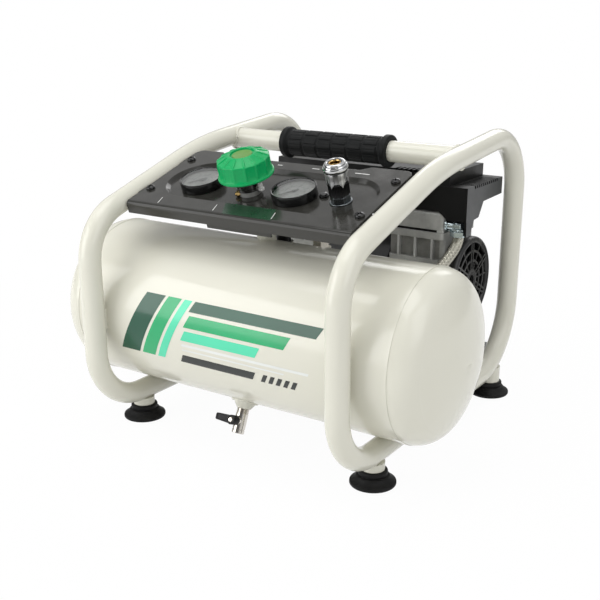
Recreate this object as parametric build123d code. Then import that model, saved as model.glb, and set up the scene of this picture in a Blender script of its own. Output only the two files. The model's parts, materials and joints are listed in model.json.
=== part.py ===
from build123d import *
import os
from math import atan2, cos, degrees, radians, sin, sqrt

# Portable air compressor with a twin-cylinder oil-free pump behind the tank.
# Millimetres, +Z up, X along the tank, -Y the operator's side.
# The origin lies on the ground under the middle of the outline.

# Fits between pieces
running = 0.05
slip = 0.1
seat_gap = 0.3
bite = 1.0

# Tube frame: two closed loops in planes across X, joined by the handle
tube_d = 24.0
tube_wall = 1.6
loop_x = 155.0
loop_depth = 401.0
knee_run = 192.2
knee_rise = 60.8
rear_rise = 19.3
bend_front_low = 65.0
bend_front_top = 58.0
bend_knee = 400.0
bend_rear_top = 64.5
bend_rear_low = 81.0
handle_run = 62.8
handle_drop = 3.2
handle_end_gap = 2.0
grip_x = -5.5
grip_length = 142.0
grip_r = 14.6
grip_band_r = 15.6
grip_band_count = 6
grip_band_gap = 4.0
grip_flange_r = 18.2
grip_flange_length = 9.0

# Feet
foot_r = 24.0
foot_h = 17.0
foot_rim_h = 4.5
foot_cone_r = 17.0
foot_cone_h = 10.5
foot_collar_r = 15.2
foot_edge = 1.6
boss_r = 12.2
boss_h = 5.2
boss_cradle = 3.0
stud_r = 4.0
stud_length = 11.0
foot_front_inset = 70.0
foot_rear_inset = 41.0

# Air tank
tank_r = 89.0
tank_wall = 2.5
barrel_length = 391.0
dome_depth = 43.6
knuckle_r = 30.0
seam_width = 4.0
seam_height = 0.4
tank_front_gap = 3.0
tank_floor_gap = 0.2
tank_top_room = 30.5
weld_length = 22.0
weld_width = 7.0
weld_depth = 9.0

# Control panel, in its own plane parallel to the loops' front slope
panel_width = 280.0
panel_length = 132.0
panel_start = 47.0
panel_lift = 5.2
panel_sheet = 1.5
panel_lip = 13.4
panel_bend = 5.0
panel_corner = 9.0
notch_left = -95.0
notch_right = 80.0
notch_depth = 8.0
notch_slant = 10.0
recess_width = 256.0
recess_height = 82.0
recess_x = 2.5
recess_s = 66.0
recess_depth = 4.0
recess_slant = 45.0
tab_length = 25.0
tab_width = 18.0
tab_sheet = 3.0
skirt_left = -38.3
skirt_right = 42.5
skirt_s = 7.0
skirt_drop = 21.3
skirt_sheet = 2.0
screw_x = 132.0
screw_front = 33.0
screw_rear = 106.0
screw_r = 2.9
screw_length = 9.0
screw_head_r = 5.0
screw_head_h = 3.5

# Places of the controls on the panel
row_s = 58.0
gauge_s = 60.5
reset_x = 69.5
reset_s = 68.5
gauge_left_x = -80.5
knob_x = -15.6
gauge_right_x = 39.5
coupler_x = 93.0
coupler_s = 62.5

# Regulator: inlet chamber below its seat, outlet chamber and spring above
regulator_width = 46.0
regulator_height = 28.5
neck_r = 12.0
spring_bore_r = 8.0
bonnet_flange_r = 16.0
bonnet_flange_h = 5.0
bonnet_r = 13.8
bonnet_h = 18.0
stem_r = 5.0
stem_depth = 24.0
knob_r = 29.6
knob_lift = 20.5
knob_h = 24.5
knob_rim_h = 2.4
knob_flat_count = 14
knob_body_r = 28.2
knob_top_r = 21.0
knob_shoulder_h = 17.0
knob_wall = 3.0
knob_hub_r = 8.5
knob_dish_r = 12.5
knob_dish_depth = 1.6

# Gauges
gauge_r = 24.0
gauge_h = 10.9
gauge_wall = 2.0
gauge_floor = 4.1
gauge_step = 1.0
gauge_stem_r = 6.0
lens_sheet = 1.2
lens_drop = 0.3
dial_sheet = 0.8
dial_lift = 0.6
needle_length = 16.0
needle_tail = 5.0
needle_width = 1.8
needle_sheet = 0.6
needle_lift = 0.9
needle_hub_r = 2.4
needle_pin_r = 0.8
gauge_zero = 225.0

# Manifold under the panel and the riser from the tank
manifold_width = 22.0
manifold_height = 20.0
manifold_drop = 5.5
manifold_end = 13.0
manifold_bore_r = 3.5
inlet_level = 14.5
outlet_level = 5.5
port_r = 2.5
riser_offset = 9.0
riser_r = 8.0
riser_bore_r = 3.5
riser_hex = 20.0
riser_hex_h = 5.0

# Quick coupler, standing on the panel
washer_r = 11.6
washer_sheet = 1.6
lock_hex = 19.0
lock_h = 11.0
coupler_thread_r = 5.5
coupler_flange_r = 9.8
coupler_flange_h = 4.0
coupler_barrel_r = 8.2
coupler_barrel_h = 26.0
coupler_bore_r = 6.4
socket_r = 5.2
socket_depth = 18.0
sleeve_r = 13.5
sleeve_waist_r = 10.6
sleeve_head_h = 9.0
sleeve_taper_h = 6.0
sleeve_travel = 4.0
sleeve_lip = 0.8

# Fittings on the tank: bosses along one line behind the crest
fitting_back = 62.0
fitting_boss_r = 11.0
fitting_boss_h = 11.0
fitting_bore_r = 5.0
switch_x = -20.0
switch_width = 56.0
switch_depth = 50.0
switch_base_h = 22.0
switch_cover_h = 30.0
switch_wall = 2.5
switch_lift = 10.0
switch_nipple_r = 8.0
switch_back = 14.0
switch_knob_r = 10.0
switch_knob_h = 12.0
switch_stem_r = 4.0
switch_travel = 6.0
gland_r = 8.0
gland_length = 18.0
gland_bore_r = 4.0
gland_step = 1.0
valve_x = 30.0
valve_hex = 17.0
valve_hex_h = 10.0
valve_r = 7.0
valve_h = 24.0
pull_stem_r = 2.0
pull_stem_depth = 14.0
pull_ring_r = 7.0
pull_wire_r = 1.3
pull_travel = 3.0
check_in = 11.0
check_angle = 10.0
check_boss_h = 7.0
check_hex = 22.0
check_hex_h = 12.0
check_r = 9.0
check_length = 30.0
check_bore_r = 4.0

# Drain valve, leaning to the front under the tank
drain_x = -2.5
drain_angle = 25.0
drain_boss_r = 13.0
drain_boss_h = 8.0
drain_land = 1.0
drain_seat = 1.0
drain_bore_r = 4.5
drain_hex = 14.0
drain_hex_h = 5.0
drain_r = 6.8
drain_length = 27.5
drain_outlet_r = 3.4
drain_ball_r = 5.0
drain_ball_drop = 14.0
drain_port_r = 2.2
drain_stem_r = 2.6
drain_collar_r = 4.6
drain_collar_reach = 8.2
lever_hub_r = 5.2
lever_length = 20.0
lever_tip_w = 7.2
lever_hub_length = 10.5
lever_sheet = 4.5
lever_screw_r = 2.4
lever_screw_h = 1.4
lever_screw_shank = 1.5
lever_screw_depth = 7.0

# Pump: motor in the middle, a crankcase, cylinder and fan at each end
pump_back = 61.0
pump_rise = 112.5
motor_r = 52.0
motor_wall = 2.5
motor_length = 84.0
stator_length = 52.0
stator_bore_r = 27.6
winding_r = 45.0
winding_bore_r = 31.0
winding_reach = 10.0
rotor_gap = 0.5
shaft_r = 6.0
shaft_past_fan = 1.0
bearing_r = 14.0
case_length = 72.0
case_width = 90.0
case_low = 58.0
deck_h = 63.0
case_wall = 6.0
case_inner_wall = 8.0
case_bore_r = 41.0
case_corner = 6.0
case_flange = 8.0
case_rib_count = 3
case_rib_pitch = 22.0
case_rib_sheet = 3.0
case_rib_depth = 5.0
case_band_low = 25.0
case_band_h = 6.0
case_foot_h = 6.0
case_foot_reach = 13.0
cylinder_r = 27.0
sleeve_wall = 3.0
cylinder_length = 30.0
throw = 6.0
eccentric_r = 13.0
eccentric_width = 10.0
rod_ring_wall = 3.6
rod_width = 12.0
rod_web = 18.0
crown_h = 6.0
crown_clear = 0.5
plate_sheet = 3.0
plate_inset = 4.0
head_h = 22.0
head_width = 86.0
head_edge = 5.0
head_web = 2.0
head_bolt_r = 3.0
head_bolt_inset_x = 9.0
head_bolt_inset_y = 9.5
head_bolt_bite = 14.0
bolt_head_r = 5.0
bolt_head_h = 4.5
crossover_r = 5.0
crossover_bore_r = 3.5
crossover_back = 20.0
fan_r = 45.0
fan_hub_r = 12.0
fan_length = 10.0
fan_gap = 3.0
fan_blade_count = 9
fan_blade_sheet = 2.0
fan_blade_room = 0.5
fan_blade_pitch = 35.0
guard_r = 53.0
guard_depth = 20.0
guard_wall = 3.0
guard_hub_r = 11.0
guard_slots = ((14.0, 22.5), (25.5, 34.0), (37.0, 46.5))
guard_spoke_count = 10
guard_spoke_w = 4.0

# Intake cover over both cylinder heads
cover_half = 142.0
cover_front = 44.0
cover_rear = 55.0
cover_floor_rise = 9.0
cover_step_back = 6.0
cover_h = 30.5
cover_wall = 2.5
cover_upper_half = 119.0
cover_upper_rear = 49.0
cover_upper_h = 15.0
cover_skirt_drop = 12.0
cover_skirt_depth = 34.0
cover_skirt_gap = 3.0
pillar_r = 5.0
cover_screw_r = 2.0
cover_screw_head_r = 4.5
cover_screw_head_h = 2.5
cover_screw_bite = 4.0
louvre_count = 9
louvre_w = 2.5
louvre_pitch = 8.0
louvre_length = 13.0

# Pump tray and its rubber mounts
tray_sheet = 2.5
tray_front = 88.0
tray_rear = 67.0
tray_half = 139.0
tray_ear_depth = 52.0
tray_flange = 14.0
tray_sink = 1.0
mount_r = 14.0
mount_bolt_r = 4.0
mount_head_r = 6.0
mount_head_h = 5.0

# Braided discharge hose
hose_r = 6.6
hose_bore_r = 4.2
hose_out = 15.0
hose_y_in_front = 34.5
hose_fall = 12.0
hose_lead = 21.0
hose_bend_top = 20.0
hose_bend_low = 60.0
elbow_r = 6.4
collar_hex = 17.0
collar_h = 9.0
collar_grip = 10.0
collar_wall = 1.5
hose_end_hex = 19.0

# Derived places
tube_r = tube_d / 2
base_z = foot_h + boss_h + tube_r
front_y = -loop_depth / 2
rear_y = loop_depth / 2
front_rise = 2 * tank_r + tank_top_room
front_top_z = base_z + front_rise
knee_y = front_y + knee_run
knee_z = front_top_z + knee_rise
rear_top_z = knee_z + rear_rise
loop_corners = [
    (front_y, base_z),
    (front_y, front_top_z),
    (knee_y, knee_z),
    (rear_y, rear_top_z),
    (rear_y, base_z),
]
loop_bends = [bend_front_low, bend_front_top, bend_knee, bend_rear_top, bend_rear_low]
handle_y = knee_y + handle_run
handle_z = knee_z + handle_run * rear_rise / (rear_y - knee_y) - handle_drop
tank_y = front_y + tube_r + tank_front_gap + tank_r
tank_z = base_z + tube_r + tank_floor_gap + tank_r
slope = atan2(knee_rise, knee_run)
panel_y = front_y + panel_start * cos(slope) - panel_lift * sin(slope)
panel_z = front_top_z + panel_start * sin(slope) + panel_lift * cos(slope)
panel_plane = Plane(origin=(0, panel_y, panel_z), x_dir=(1, 0, 0), z_dir=(0, -sin(slope), cos(slope)))
recess_floor = -recess_depth
under_panel = -recess_depth - panel_sheet
manifold_top = under_panel - manifold_drop
bonnet_top = recess_floor + bonnet_h
knob_base = recess_floor + knob_lift
fitting_y = tank_y + fitting_back
fitting_skin_z = tank_z + sqrt(tank_r**2 - fitting_back**2)
fitting_top_z = fitting_skin_z + fitting_boss_h
pump_y = rear_y - pump_back
pump_z = base_z + pump_rise
case_x = motor_length / 2 + case_length / 2
case_out_x = motor_length / 2 + case_length
hose_x = case_out_x + hose_out
check_x = hose_x - check_in
deck_z = pump_z + deck_h
head_base_z = deck_z + plate_sheet
head_top_z = head_base_z + head_h
foot_plate_z = pump_z - case_low
mount_y = case_width / 2 + case_foot_reach / 2 + slip * 5
tray_z = base_z + tube_r - tray_sink
BASE = (Align.CENTER, Align.CENTER, Align.MIN)
TOP = (Align.CENTER, Align.CENTER, Align.MAX)


# Round bar standing on its own origin
def peg(radius, length):
    return Cylinder(radius, length, align=BASE)


# Tube standing on its own origin
def ring(outer, inner, length):
    return peg(outer, length) - peg(inner, length)


# Hexagonal bar standing on its own origin, with an optional bore
def hex_bar(across, length, bore=0.0):
    bar = extrude(RegularPolygon(across / 2, 6, major_radius=False), length)
    return bar - peg(bore, length) if bore else bar


# A shape placed on the panel at x, distance up the slope and height over the sheet
def on_panel(x, s, h, shape):
    return panel_plane * (Pos(x, s, h) * shape)


# A shape whose Z axis is turned to run along +X from a point
def along_x(x, y, z, shape):
    return Plane(origin=(x, y, z), x_dir=(0, 1, 0), z_dir=(1, 0, 0)) * shape


# The same shape at both ends of the pump, the left one mirrored
def both_ends(shape):
    return [shape, mirror(shape, about=Plane.YZ)]


# One node of several separate solids
def group(shapes):
    return Compound(children=[solid for shape in shapes for solid in shape.solids()])


# Bent bar of one frame loop; side is -1 on the left and 1 on the right
def loop_bar(side, radius):
    points = [(side * loop_x, y, z) for y, z in loop_corners]
    path = FilletPolyline(*points, radius=loop_bends, close=True)
    return sweep(Plane(origin=path @ 0, z_dir=path % 0) * Circle(radius), path)


loop_bars = {side: loop_bar(side, tube_r) for side in (-1, 1)}
both_loops = loop_bars[-1] + loop_bars[1]


def frame_loop(side):
    return loop_bars[side] - loop_bar(side, tube_r - tube_wall)


# Handle tube, coped to the loops at both ends
def handle_tube():
    length = 2 * (loop_x - handle_end_gap)
    bar = along_x(-length / 2, handle_y, handle_z, ring(tube_r, tube_r - tube_wall, length))
    cut = bar - both_loops
    return max(cut.solids(), key=lambda solid: solid.volume)


# Rubber grip: end flanges and raised bands on one sleeve
def handle_grip():
    body = peg(grip_r, grip_length)
    for start in (0, grip_length - grip_flange_length):
        body += Pos(0, 0, start) * peg(grip_flange_r, grip_flange_length)
    room = grip_length - 2 * grip_flange_length
    pitch = room / grip_band_count
    for i in range(grip_band_count):
        start = grip_flange_length + i * pitch + grip_band_gap / 2
        body += Pos(0, 0, start) * peg(grip_band_r, pitch - grip_band_gap)
    body -= peg(tube_r + slip, grip_length)
    return along_x(grip_x - grip_length / 2, handle_y, handle_z, body)


# Where the four feet stand and the underside height of the tube over each
def foot_places():
    places = []
    for side in (-1, 1):
        for y in (front_y + foot_front_inset, rear_y - foot_rear_inset):
            past_bend = max(0.0, y - (rear_y - bend_rear_low))
            rise = bend_rear_low - sqrt(bend_rear_low**2 - past_bend**2)
            places.append((side * loop_x, y, base_z - tube_r + rise))
    return places


def rubber_feet():
    profile = Polyline(
        (0, 0),
        (foot_r - foot_edge / 2, 0),
        (foot_r, foot_edge / 2),
        (foot_r, foot_rim_h),
        (foot_cone_r, foot_cone_h),
        (foot_collar_r, foot_cone_h),
        (foot_collar_r, foot_h - foot_edge),
        (foot_collar_r - foot_edge, foot_h),
        (0, foot_h),
        close=True,
    )
    foot = revolve(make_face(Plane.XZ * profile), Axis.Z)
    foot -= Pos(0, 0, foot_h - stud_length) * peg(stud_r + slip, stud_length)
    return group([Pos(x, y, 0) * foot for x, y, under in foot_places()])


def foot_bosses():
    bosses = []
    for x, y, under in foot_places():
        body = Pos(x, y, foot_h) * peg(boss_r, under - foot_h + boss_cradle)
        body += Pos(x, y, foot_h - stud_length) * peg(stud_r, stud_length)
        body -= both_loops
        bosses.append(max(body.solids(), key=lambda solid: solid.volume))
    return group(bosses)


def tank_bar(radius):
    return along_x(-barrel_length / 2, tank_y, tank_z, peg(radius, barrel_length))


# Planes on the tank skin, looking outwards along each fitting
def fitting_plane(x):
    return Plane(origin=(x, fitting_y, fitting_top_z), z_dir=(0, 0, 1))


drain_dir = (0, -sin(radians(drain_angle)), -cos(radians(drain_angle)))
drain_skin = (drain_x, tank_y + tank_r * drain_dir[1], tank_z + tank_r * drain_dir[2])
drain_plane = Plane(origin=drain_skin, x_dir=(1, 0, 0), z_dir=drain_dir)
check_dir = (0, cos(radians(check_angle)), sin(radians(check_angle)))
check_skin = (check_x, tank_y + tank_r * check_dir[1], tank_z + tank_r * check_dir[2])
check_plane = Plane(origin=check_skin, x_dir=(1, 0, 0), z_dir=check_dir)
regulator_under = under_panel - regulator_height
riser_top = panel_plane.from_local_coords((knob_x + riser_offset, row_s, regulator_under))
riser_plane = Plane(origin=riser_top, x_dir=(1, 0, 0), z_dir=(0, sin(slope), -cos(slope)))


# Bores drilled through the tank skin for every fitting
def skin_bores():
    drill = Pos(0, 0, -tank_r) * peg(fitting_bore_r, tank_r)
    bores = [fitting_plane(x) * drill for x in (switch_x, valve_x)]
    bores.append(drain_plane * (Pos(0, 0, -tank_r / 2) * peg(drain_bore_r, tank_r)))
    bores.append(check_plane * (Pos(0, 0, -tank_r / 2) * peg(fitting_bore_r, tank_r)))
    bores.append(riser_plane * peg(riser_bore_r, tank_r))
    return bores


def tank_barrel():
    shell = tank_bar(tank_r) - tank_bar(tank_r - tank_wall)
    for bore in skin_bores():
        shell -= bore
    return shell


# One side of a domed end: knuckle arc, then crown arc, set in from the skin
def dome_arcs(inset):
    rise = dome_depth - knuckle_r
    reach = ((tank_r - knuckle_r) ** 2 - rise**2) / (2 * rise) + dome_depth - knuckle_r
    crown_r = reach + knuckle_r
    crown_x = dome_depth - crown_r
    turn = atan2(tank_r - knuckle_r, -crown_x)
    small, large = knuckle_r - inset, crown_r - inset
    knuckle = CenterArc((0, tank_r - knuckle_r), small, degrees(turn), 90 - degrees(turn))
    crown = CenterArc((crown_x, 0), large, 0, degrees(turn))
    return knuckle, crown, (0, tank_r - inset), (dome_depth - inset, 0)


# Domed end made by turning its wall about the tank's axis
def tank_end(side):
    knuckle, crown, rim, apex = dome_arcs(0)
    inner_knuckle, inner_crown, inner_rim, inner_apex = dome_arcs(tank_wall)
    joins = [Line(rim, inner_rim), Line(apex, inner_apex)]
    wall = make_face([knuckle, crown, inner_knuckle, inner_crown] + joins)
    dome = revolve(wall, Axis.X)
    dome = Pos(barrel_length / 2, tank_y, tank_z) * dome
    return dome if side > 0 else mirror(dome, about=Plane.YZ)


def tank_ends():
    return group([tank_end(-1), tank_end(1)])


# Welded bosses: drain, check valve, riser and the two fittings behind the crest
def tank_bosses():
    deep = fitting_boss_h + tank_r / 2
    bosses = []
    for x in (switch_x, valve_x):
        bosses.append(fitting_plane(x) * (Pos(0, 0, -deep) * ring(fitting_boss_r, fitting_bore_r, deep)))
    drain = Cone(drain_boss_r, drain_r + drain_land, drain_boss_h, align=BASE)
    drain += Pos(0, 0, -drain_boss_h) * peg(drain_boss_r, drain_boss_h)
    drain -= Pos(0, 0, -drain_boss_h) * peg(drain_bore_r, 2 * drain_boss_h)
    bosses.append(drain_plane * drain)
    check = ring(fitting_boss_r, fitting_bore_r, 2 * check_boss_h)
    bosses.append(check_plane * (Pos(0, 0, -check_boss_h) * check))
    bosses.append(riser_plane * (Pos(0, 0, riser_hex_h) * ring(riser_hex / 2, riser_r, tank_r / 2)))
    cut = [boss - tank_bar(tank_r) for boss in bosses]
    return group([outer_piece(shape) for shape in cut])


# The outermost solid of a boss after the tank has been cut away from it
def outer_piece(shape):
    centre = Vector(0, tank_y, tank_z)
    far = lambda solid: (solid.center() - centre).dot(Vector(0, 0, 1)) ** 2 + solid.volume
    return max(shape.solids(), key=far)


# Weld metal: tank seams and the pads between tank and loops
def weld_beads():
    beads = []
    for side in (-1, 1):
        seam = ring(tank_r + seam_height, tank_r, seam_width)
        beads.append(along_x(side * barrel_length / 2 - seam_width / 2, tank_y, tank_z, seam))
        front = Pos(side * loop_x, front_y + tube_r, tank_z) * Box(weld_width, weld_depth, weld_length)
        under = Pos(side * loop_x, tank_y, base_z + tube_r) * Box(weld_width, weld_length, weld_depth)
        for pad in (front, under):
            pad = pad - both_loops - tank_bar(tank_r)
            middle = Vector(side * loop_x, tank_y, tank_z)
            bead = min(pad.solids(), key=lambda solid: abs((solid.center() - middle).length - tank_r))
            beads.append(bead)
    return group(beads)


# Sheet panel with a rounded front lip, a pressed recess and a notched rear edge
def control_panel():
    half = panel_width / 2
    deep = panel_length - notch_depth
    outline = make_face(
        Polyline(
            (-half, 0),
            (half, 0),
            (half, panel_length),
            (notch_right + notch_slant, panel_length),
            (notch_right, deep),
            (notch_left, deep),
            (notch_left - notch_slant, panel_length),
            (-half, panel_length),
            close=True,
        )
    )
    outline = fillet(outline.vertices().group_by(Axis.Y)[-1].sort_by(Axis.X)[0], panel_corner)
    outline = fillet(outline.vertices().group_by(Axis.Y)[-1].sort_by(Axis.X)[-1], panel_corner)
    sheet = extrude(outline, -panel_sheet)
    lip = Box(panel_width, panel_sheet, panel_lip, align=(Align.CENTER, Align.MIN, Align.MAX))
    sheet += lip
    inner_edge = sheet.edges().filter_by(Axis.X).sort_by_distance((0, panel_sheet, -panel_sheet))[0]
    sheet = fillet(inner_edge, panel_bend - panel_sheet)
    sheet = fillet(sheet.edges().filter_by(Axis.X).sort_by_distance((0, 0, 0))[0], panel_bend)
    middle = Pos(recess_x, recess_s, 0)
    outer = SlotOverall(recess_width + 2 * panel_sheet, recess_height + 2 * panel_sheet)
    inner = SlotOverall(recess_width, recess_height)
    sheet += middle * extrude(outer, -recess_depth - panel_sheet, taper=recess_slant)
    sheet -= middle * extrude(inner, -recess_depth, taper=recess_slant)
    through = 4 * (recess_depth + panel_sheet)
    holes = [(knob_x, row_s, neck_r), (coupler_x, coupler_s, coupler_thread_r)]
    holes += [(x, gauge_s, gauge_stem_r) for x in (gauge_left_x, gauge_right_x)]
    holes += [(x, s, screw_r) for x, s in screw_places()]
    for x, s, r in holes:
        sheet -= Pos(x, s, -through) * peg(r + seat_gap, 2 * through)
    return panel_plane * sheet


# Four corner screws and, last, the overload button beside the coupler
def screw_places():
    corners = [(x, s) for x in (-screw_x, screw_x) for s in (screw_front, screw_rear)]
    return corners + [(reset_x, reset_s)]


# Tabs welded to the loops and the sheet skirt that hangs under the panel behind its lip
def panel_tabs():
    tabs = []
    for side in (-1, 1):
        for s in (screw_front, screw_rear):
            tab = Box(tab_length, tab_width, tab_sheet, align=(Align.MIN, Align.CENTER, Align.MAX))
            tab -= Pos(screw_x - loop_x + tab_length, 0, -tab_sheet) * peg(screw_r + slip, tab_sheet)
            tab = tab if side > 0 else mirror(tab, about=Plane.YZ)
            placed = on_panel(side * (loop_x - tab_length), s, -panel_sheet, tab)
            tabs.append(max((placed - both_loops).solids(), key=lambda solid: solid.volume))
    skirt = Box(skirt_right - skirt_left, skirt_sheet, skirt_drop - panel_sheet, align=TOP)
    tabs.append(on_panel((skirt_left + skirt_right) / 2, skirt_s, -panel_sheet, skirt))
    return group(tabs)


def panel_screws():
    head = peg(screw_head_r, screw_head_h)
    head = fillet(head.edges().sort_by(Axis.Z)[-1], screw_head_h / 2)
    screw = head + Pos(0, 0, -screw_length) * peg(screw_r, screw_length)
    button_shank = panel_sheet + manifold_drop / 2
    button = Pos(0, 0, recess_floor) * (head + Pos(0, 0, -button_shank) * peg(screw_r, button_shank))
    placed = [on_panel(x, s, 0, screw) for x, s in screw_places()[:-1]]
    return group(placed + [on_panel(reset_x, reset_s, 0, button)])


def regulator_body():
    block = Box(regulator_width, regulator_width, regulator_height, align=TOP)
    block = fillet(block.edges().filter_by(Axis.Z), knob_wall)
    neck_h = panel_sheet + bonnet_flange_h
    low, high = -manifold_drop - inlet_level, -manifold_drop - outlet_level
    block += peg(neck_r, neck_h)
    block -= Pos(0, 0, high - manifold_bore_r / 2) * peg(spring_bore_r, neck_h - high + manifold_bore_r / 2)
    block -= Pos(0, 0, low) * peg(port_r, high - low)
    half = regulator_width / 2
    block -= along_x(-half, 0, low, peg(manifold_bore_r, half + riser_offset))
    block -= along_x(0, 0, high, peg(manifold_bore_r, half))
    block -= Pos(riser_offset, 0, -regulator_height) * peg(riser_bore_r, regulator_height + low)
    return on_panel(knob_x, row_s, under_panel, block)


# Flanged bonnet round the regulator's neck
def regulator_bonnet():
    body = peg(bonnet_flange_r, bonnet_flange_h)
    body += Pos(0, 0, bonnet_flange_h) * peg(bonnet_r, bonnet_h - bonnet_flange_h)
    body -= peg(neck_r + slip, bonnet_flange_h)
    body -= peg(stem_r + running, bonnet_h)
    return on_panel(knob_x, row_s, recess_floor, body)


# Hollow knob with flats round its skirt, a rim below, a dished top and its adjusting stem
def regulator_knob():
    body = extrude(RegularPolygon(knob_body_r, knob_flat_count), knob_shoulder_h)
    shoulder = Plane.XY.offset(knob_shoulder_h) * RegularPolygon(knob_body_r, knob_flat_count)
    crown = Plane.XY.offset(knob_h) * RegularPolygon(knob_top_r, knob_flat_count)
    body += loft([shoulder, crown])
    body += peg(knob_r, knob_rim_h)
    body -= peg(knob_top_r - knob_wall, knob_h - 2 * knob_wall)
    body -= Pos(0, 0, knob_h - knob_dish_depth) * peg(knob_dish_r, knob_dish_depth)
    hub_drop = knob_base - bonnet_top - seat_gap
    body += Pos(0, 0, -hub_drop) * peg(knob_hub_r, hub_drop + knob_h - knob_wall)
    body += Pos(0, 0, -hub_drop - stem_depth) * peg(stem_r, stem_depth)
    return on_panel(knob_x, row_s, knob_base, body)


gauge_places = {"left": gauge_left_x, "right": gauge_right_x}
dial_top = gauge_floor + dial_lift + dial_sheet
lens_top = gauge_h - lens_drop


def gauge_cases():
    body = peg(gauge_r, gauge_h)
    body = chamfer(body.edges().sort_by(Axis.Z)[-1], gauge_wall / 2)
    body -= Pos(0, 0, gauge_floor) * peg(gauge_r - gauge_wall - gauge_step, gauge_h)
    body -= Pos(0, 0, lens_top - lens_sheet) * peg(gauge_r - gauge_wall, gauge_h)
    stem_length = recess_floor - manifold_top
    body += Pos(0, 0, -stem_length) * peg(gauge_stem_r, stem_length)
    body += Pos(0, 0, gauge_floor) * peg(gauge_r / 2, dial_lift)
    return group([on_panel(x, gauge_s, recess_floor, body) for x in gauge_places.values()])


def gauge_dials():
    disc = peg(gauge_r - gauge_wall - gauge_step - slip, dial_sheet)
    disc -= peg(needle_pin_r + running, dial_sheet)
    seat = recess_floor + gauge_floor + dial_lift
    return group([on_panel(x, gauge_s, seat, disc) for x in gauge_places.values()])


def gauge_lenses():
    disc = peg(gauge_r - gauge_wall - slip, lens_sheet)
    seat = recess_floor + lens_top - lens_sheet
    return group([on_panel(x, gauge_s, seat, disc) for x in gauge_places.values()])


# Pointer at zero, lower left on the dial, with its pin in the dial
def gauge_needle(x):
    blade = Pos((needle_length - needle_tail) / 2, 0, 0) * Box(
        needle_length + needle_tail, needle_width, needle_sheet, align=BASE
    )
    body = blade + peg(needle_hub_r, needle_sheet)
    drop = needle_lift + dial_sheet - seat_gap
    body += Pos(0, 0, -drop) * peg(needle_pin_r, drop)
    body = Rot(0, 0, gauge_zero) * body
    return on_panel(x, gauge_s, recess_floor + dial_top + needle_lift, body)


# Manifold bars on both sides of the regulator, each bored along its length
def air_manifold():
    half = regulator_width / 2
    inlet_ports = ((gauge_left_x, gauge_s),)
    outlet_ports = ((gauge_right_x, gauge_s), (coupler_x, coupler_s))
    spans = [
        (gauge_left_x - manifold_end, knob_x - half, inlet_level, inlet_ports),
        (knob_x + half, coupler_x + manifold_end, outlet_level, outlet_ports),
    ]
    bars = []
    for low, high, level, ports in spans:
        length = high - low
        bar = Pos((low + high) / 2, 0, 0) * Box(length, manifold_width, manifold_height, align=TOP)
        inner = length - manifold_end / 2
        start = low if high > 0 else high - inner
        bar -= along_x(start, 0, -level, peg(manifold_bore_r, inner))
        for x, s in ports:
            bar -= Pos(x, s - row_s, -level) * peg(port_r, level)
        bars.append(on_panel(0, row_s, manifold_top, bar))
    return group(bars)


# Riser from the tank's boss to the regulator, with its hexagon
def riser_pipe():
    pipe = ring(riser_r, riser_bore_r, tank_r / 2) + hex_bar(riser_hex, riser_hex_h, riser_bore_r)
    return outer_piece(riser_plane * pipe - tank_bar(tank_r))


coupler_floor = recess_floor + washer_sheet
coupler_seat_h = coupler_floor + lock_h
barrel_base = coupler_seat_h + coupler_flange_h
coupler_top = barrel_base + coupler_barrel_h
sleeve_base = barrel_base + sleeve_travel + seat_gap
sleeve_h = coupler_top + sleeve_lip - sleeve_base


def coupler_washer():
    washer = ring(washer_r, coupler_thread_r + slip, washer_sheet)
    return on_panel(coupler_x, coupler_s, recess_floor, washer)


def coupler_nut():
    nut = hex_bar(lock_hex, lock_h, coupler_thread_r + slip)
    return on_panel(coupler_x, coupler_s, coupler_floor, nut)


# Coupler body: thread, flange and the barrel that the sleeve slides on
def coupler_body():
    thread_h = coupler_seat_h - manifold_top
    body = peg(coupler_thread_r, thread_h)
    body += Pos(0, 0, thread_h) * peg(coupler_flange_r, coupler_flange_h)
    body += Pos(0, 0, thread_h + coupler_flange_h) * peg(coupler_barrel_r, coupler_barrel_h)
    whole = thread_h + coupler_flange_h + coupler_barrel_h
    body -= Pos(0, 0, whole - socket_depth) * peg(coupler_bore_r, socket_depth)
    body -= peg(port_r, whole)
    return on_panel(coupler_x, coupler_s, manifold_top, body)


# Brass seat lining the socket
def coupler_seat():
    liner = ring(coupler_bore_r, socket_r, socket_depth)
    return on_panel(coupler_x, coupler_s, coupler_top - socket_depth, liner)


def coupler_sleeve():
    head_base = sleeve_h - sleeve_head_h
    body = peg(sleeve_waist_r, head_base - sleeve_taper_h)
    taper = Cone(sleeve_waist_r, sleeve_r, sleeve_taper_h, align=BASE)
    body += Pos(0, 0, head_base - sleeve_taper_h) * taper
    body += Pos(0, 0, head_base) * peg(sleeve_r, sleeve_head_h)
    body = chamfer(body.edges().filter_by(GeomType.CIRCLE).sort_by(Axis.Z)[-1], sleeve_lip)
    body -= peg(coupler_barrel_r + running, sleeve_h)
    return on_panel(coupler_x, coupler_s, sleeve_base, body)


switch_y = fitting_y + switch_back
switch_z = fitting_top_z + switch_lift
switch_top_z = switch_z + switch_base_h + switch_cover_h


# Switch base with the nipple that screws into its tank boss
def switch_base():
    body = Pos(switch_x, switch_y, switch_z) * Box(switch_width, switch_depth, switch_base_h, align=BASE)
    body = fillet(body.edges().filter_by(Axis.Z), switch_wall)
    nipple = switch_z - fitting_top_z
    body += fitting_plane(switch_x) * peg(switch_nipple_r, nipple)
    return body - fitting_plane(switch_x) * peg(fitting_bore_r, nipple + switch_base_h / 2)


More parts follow.
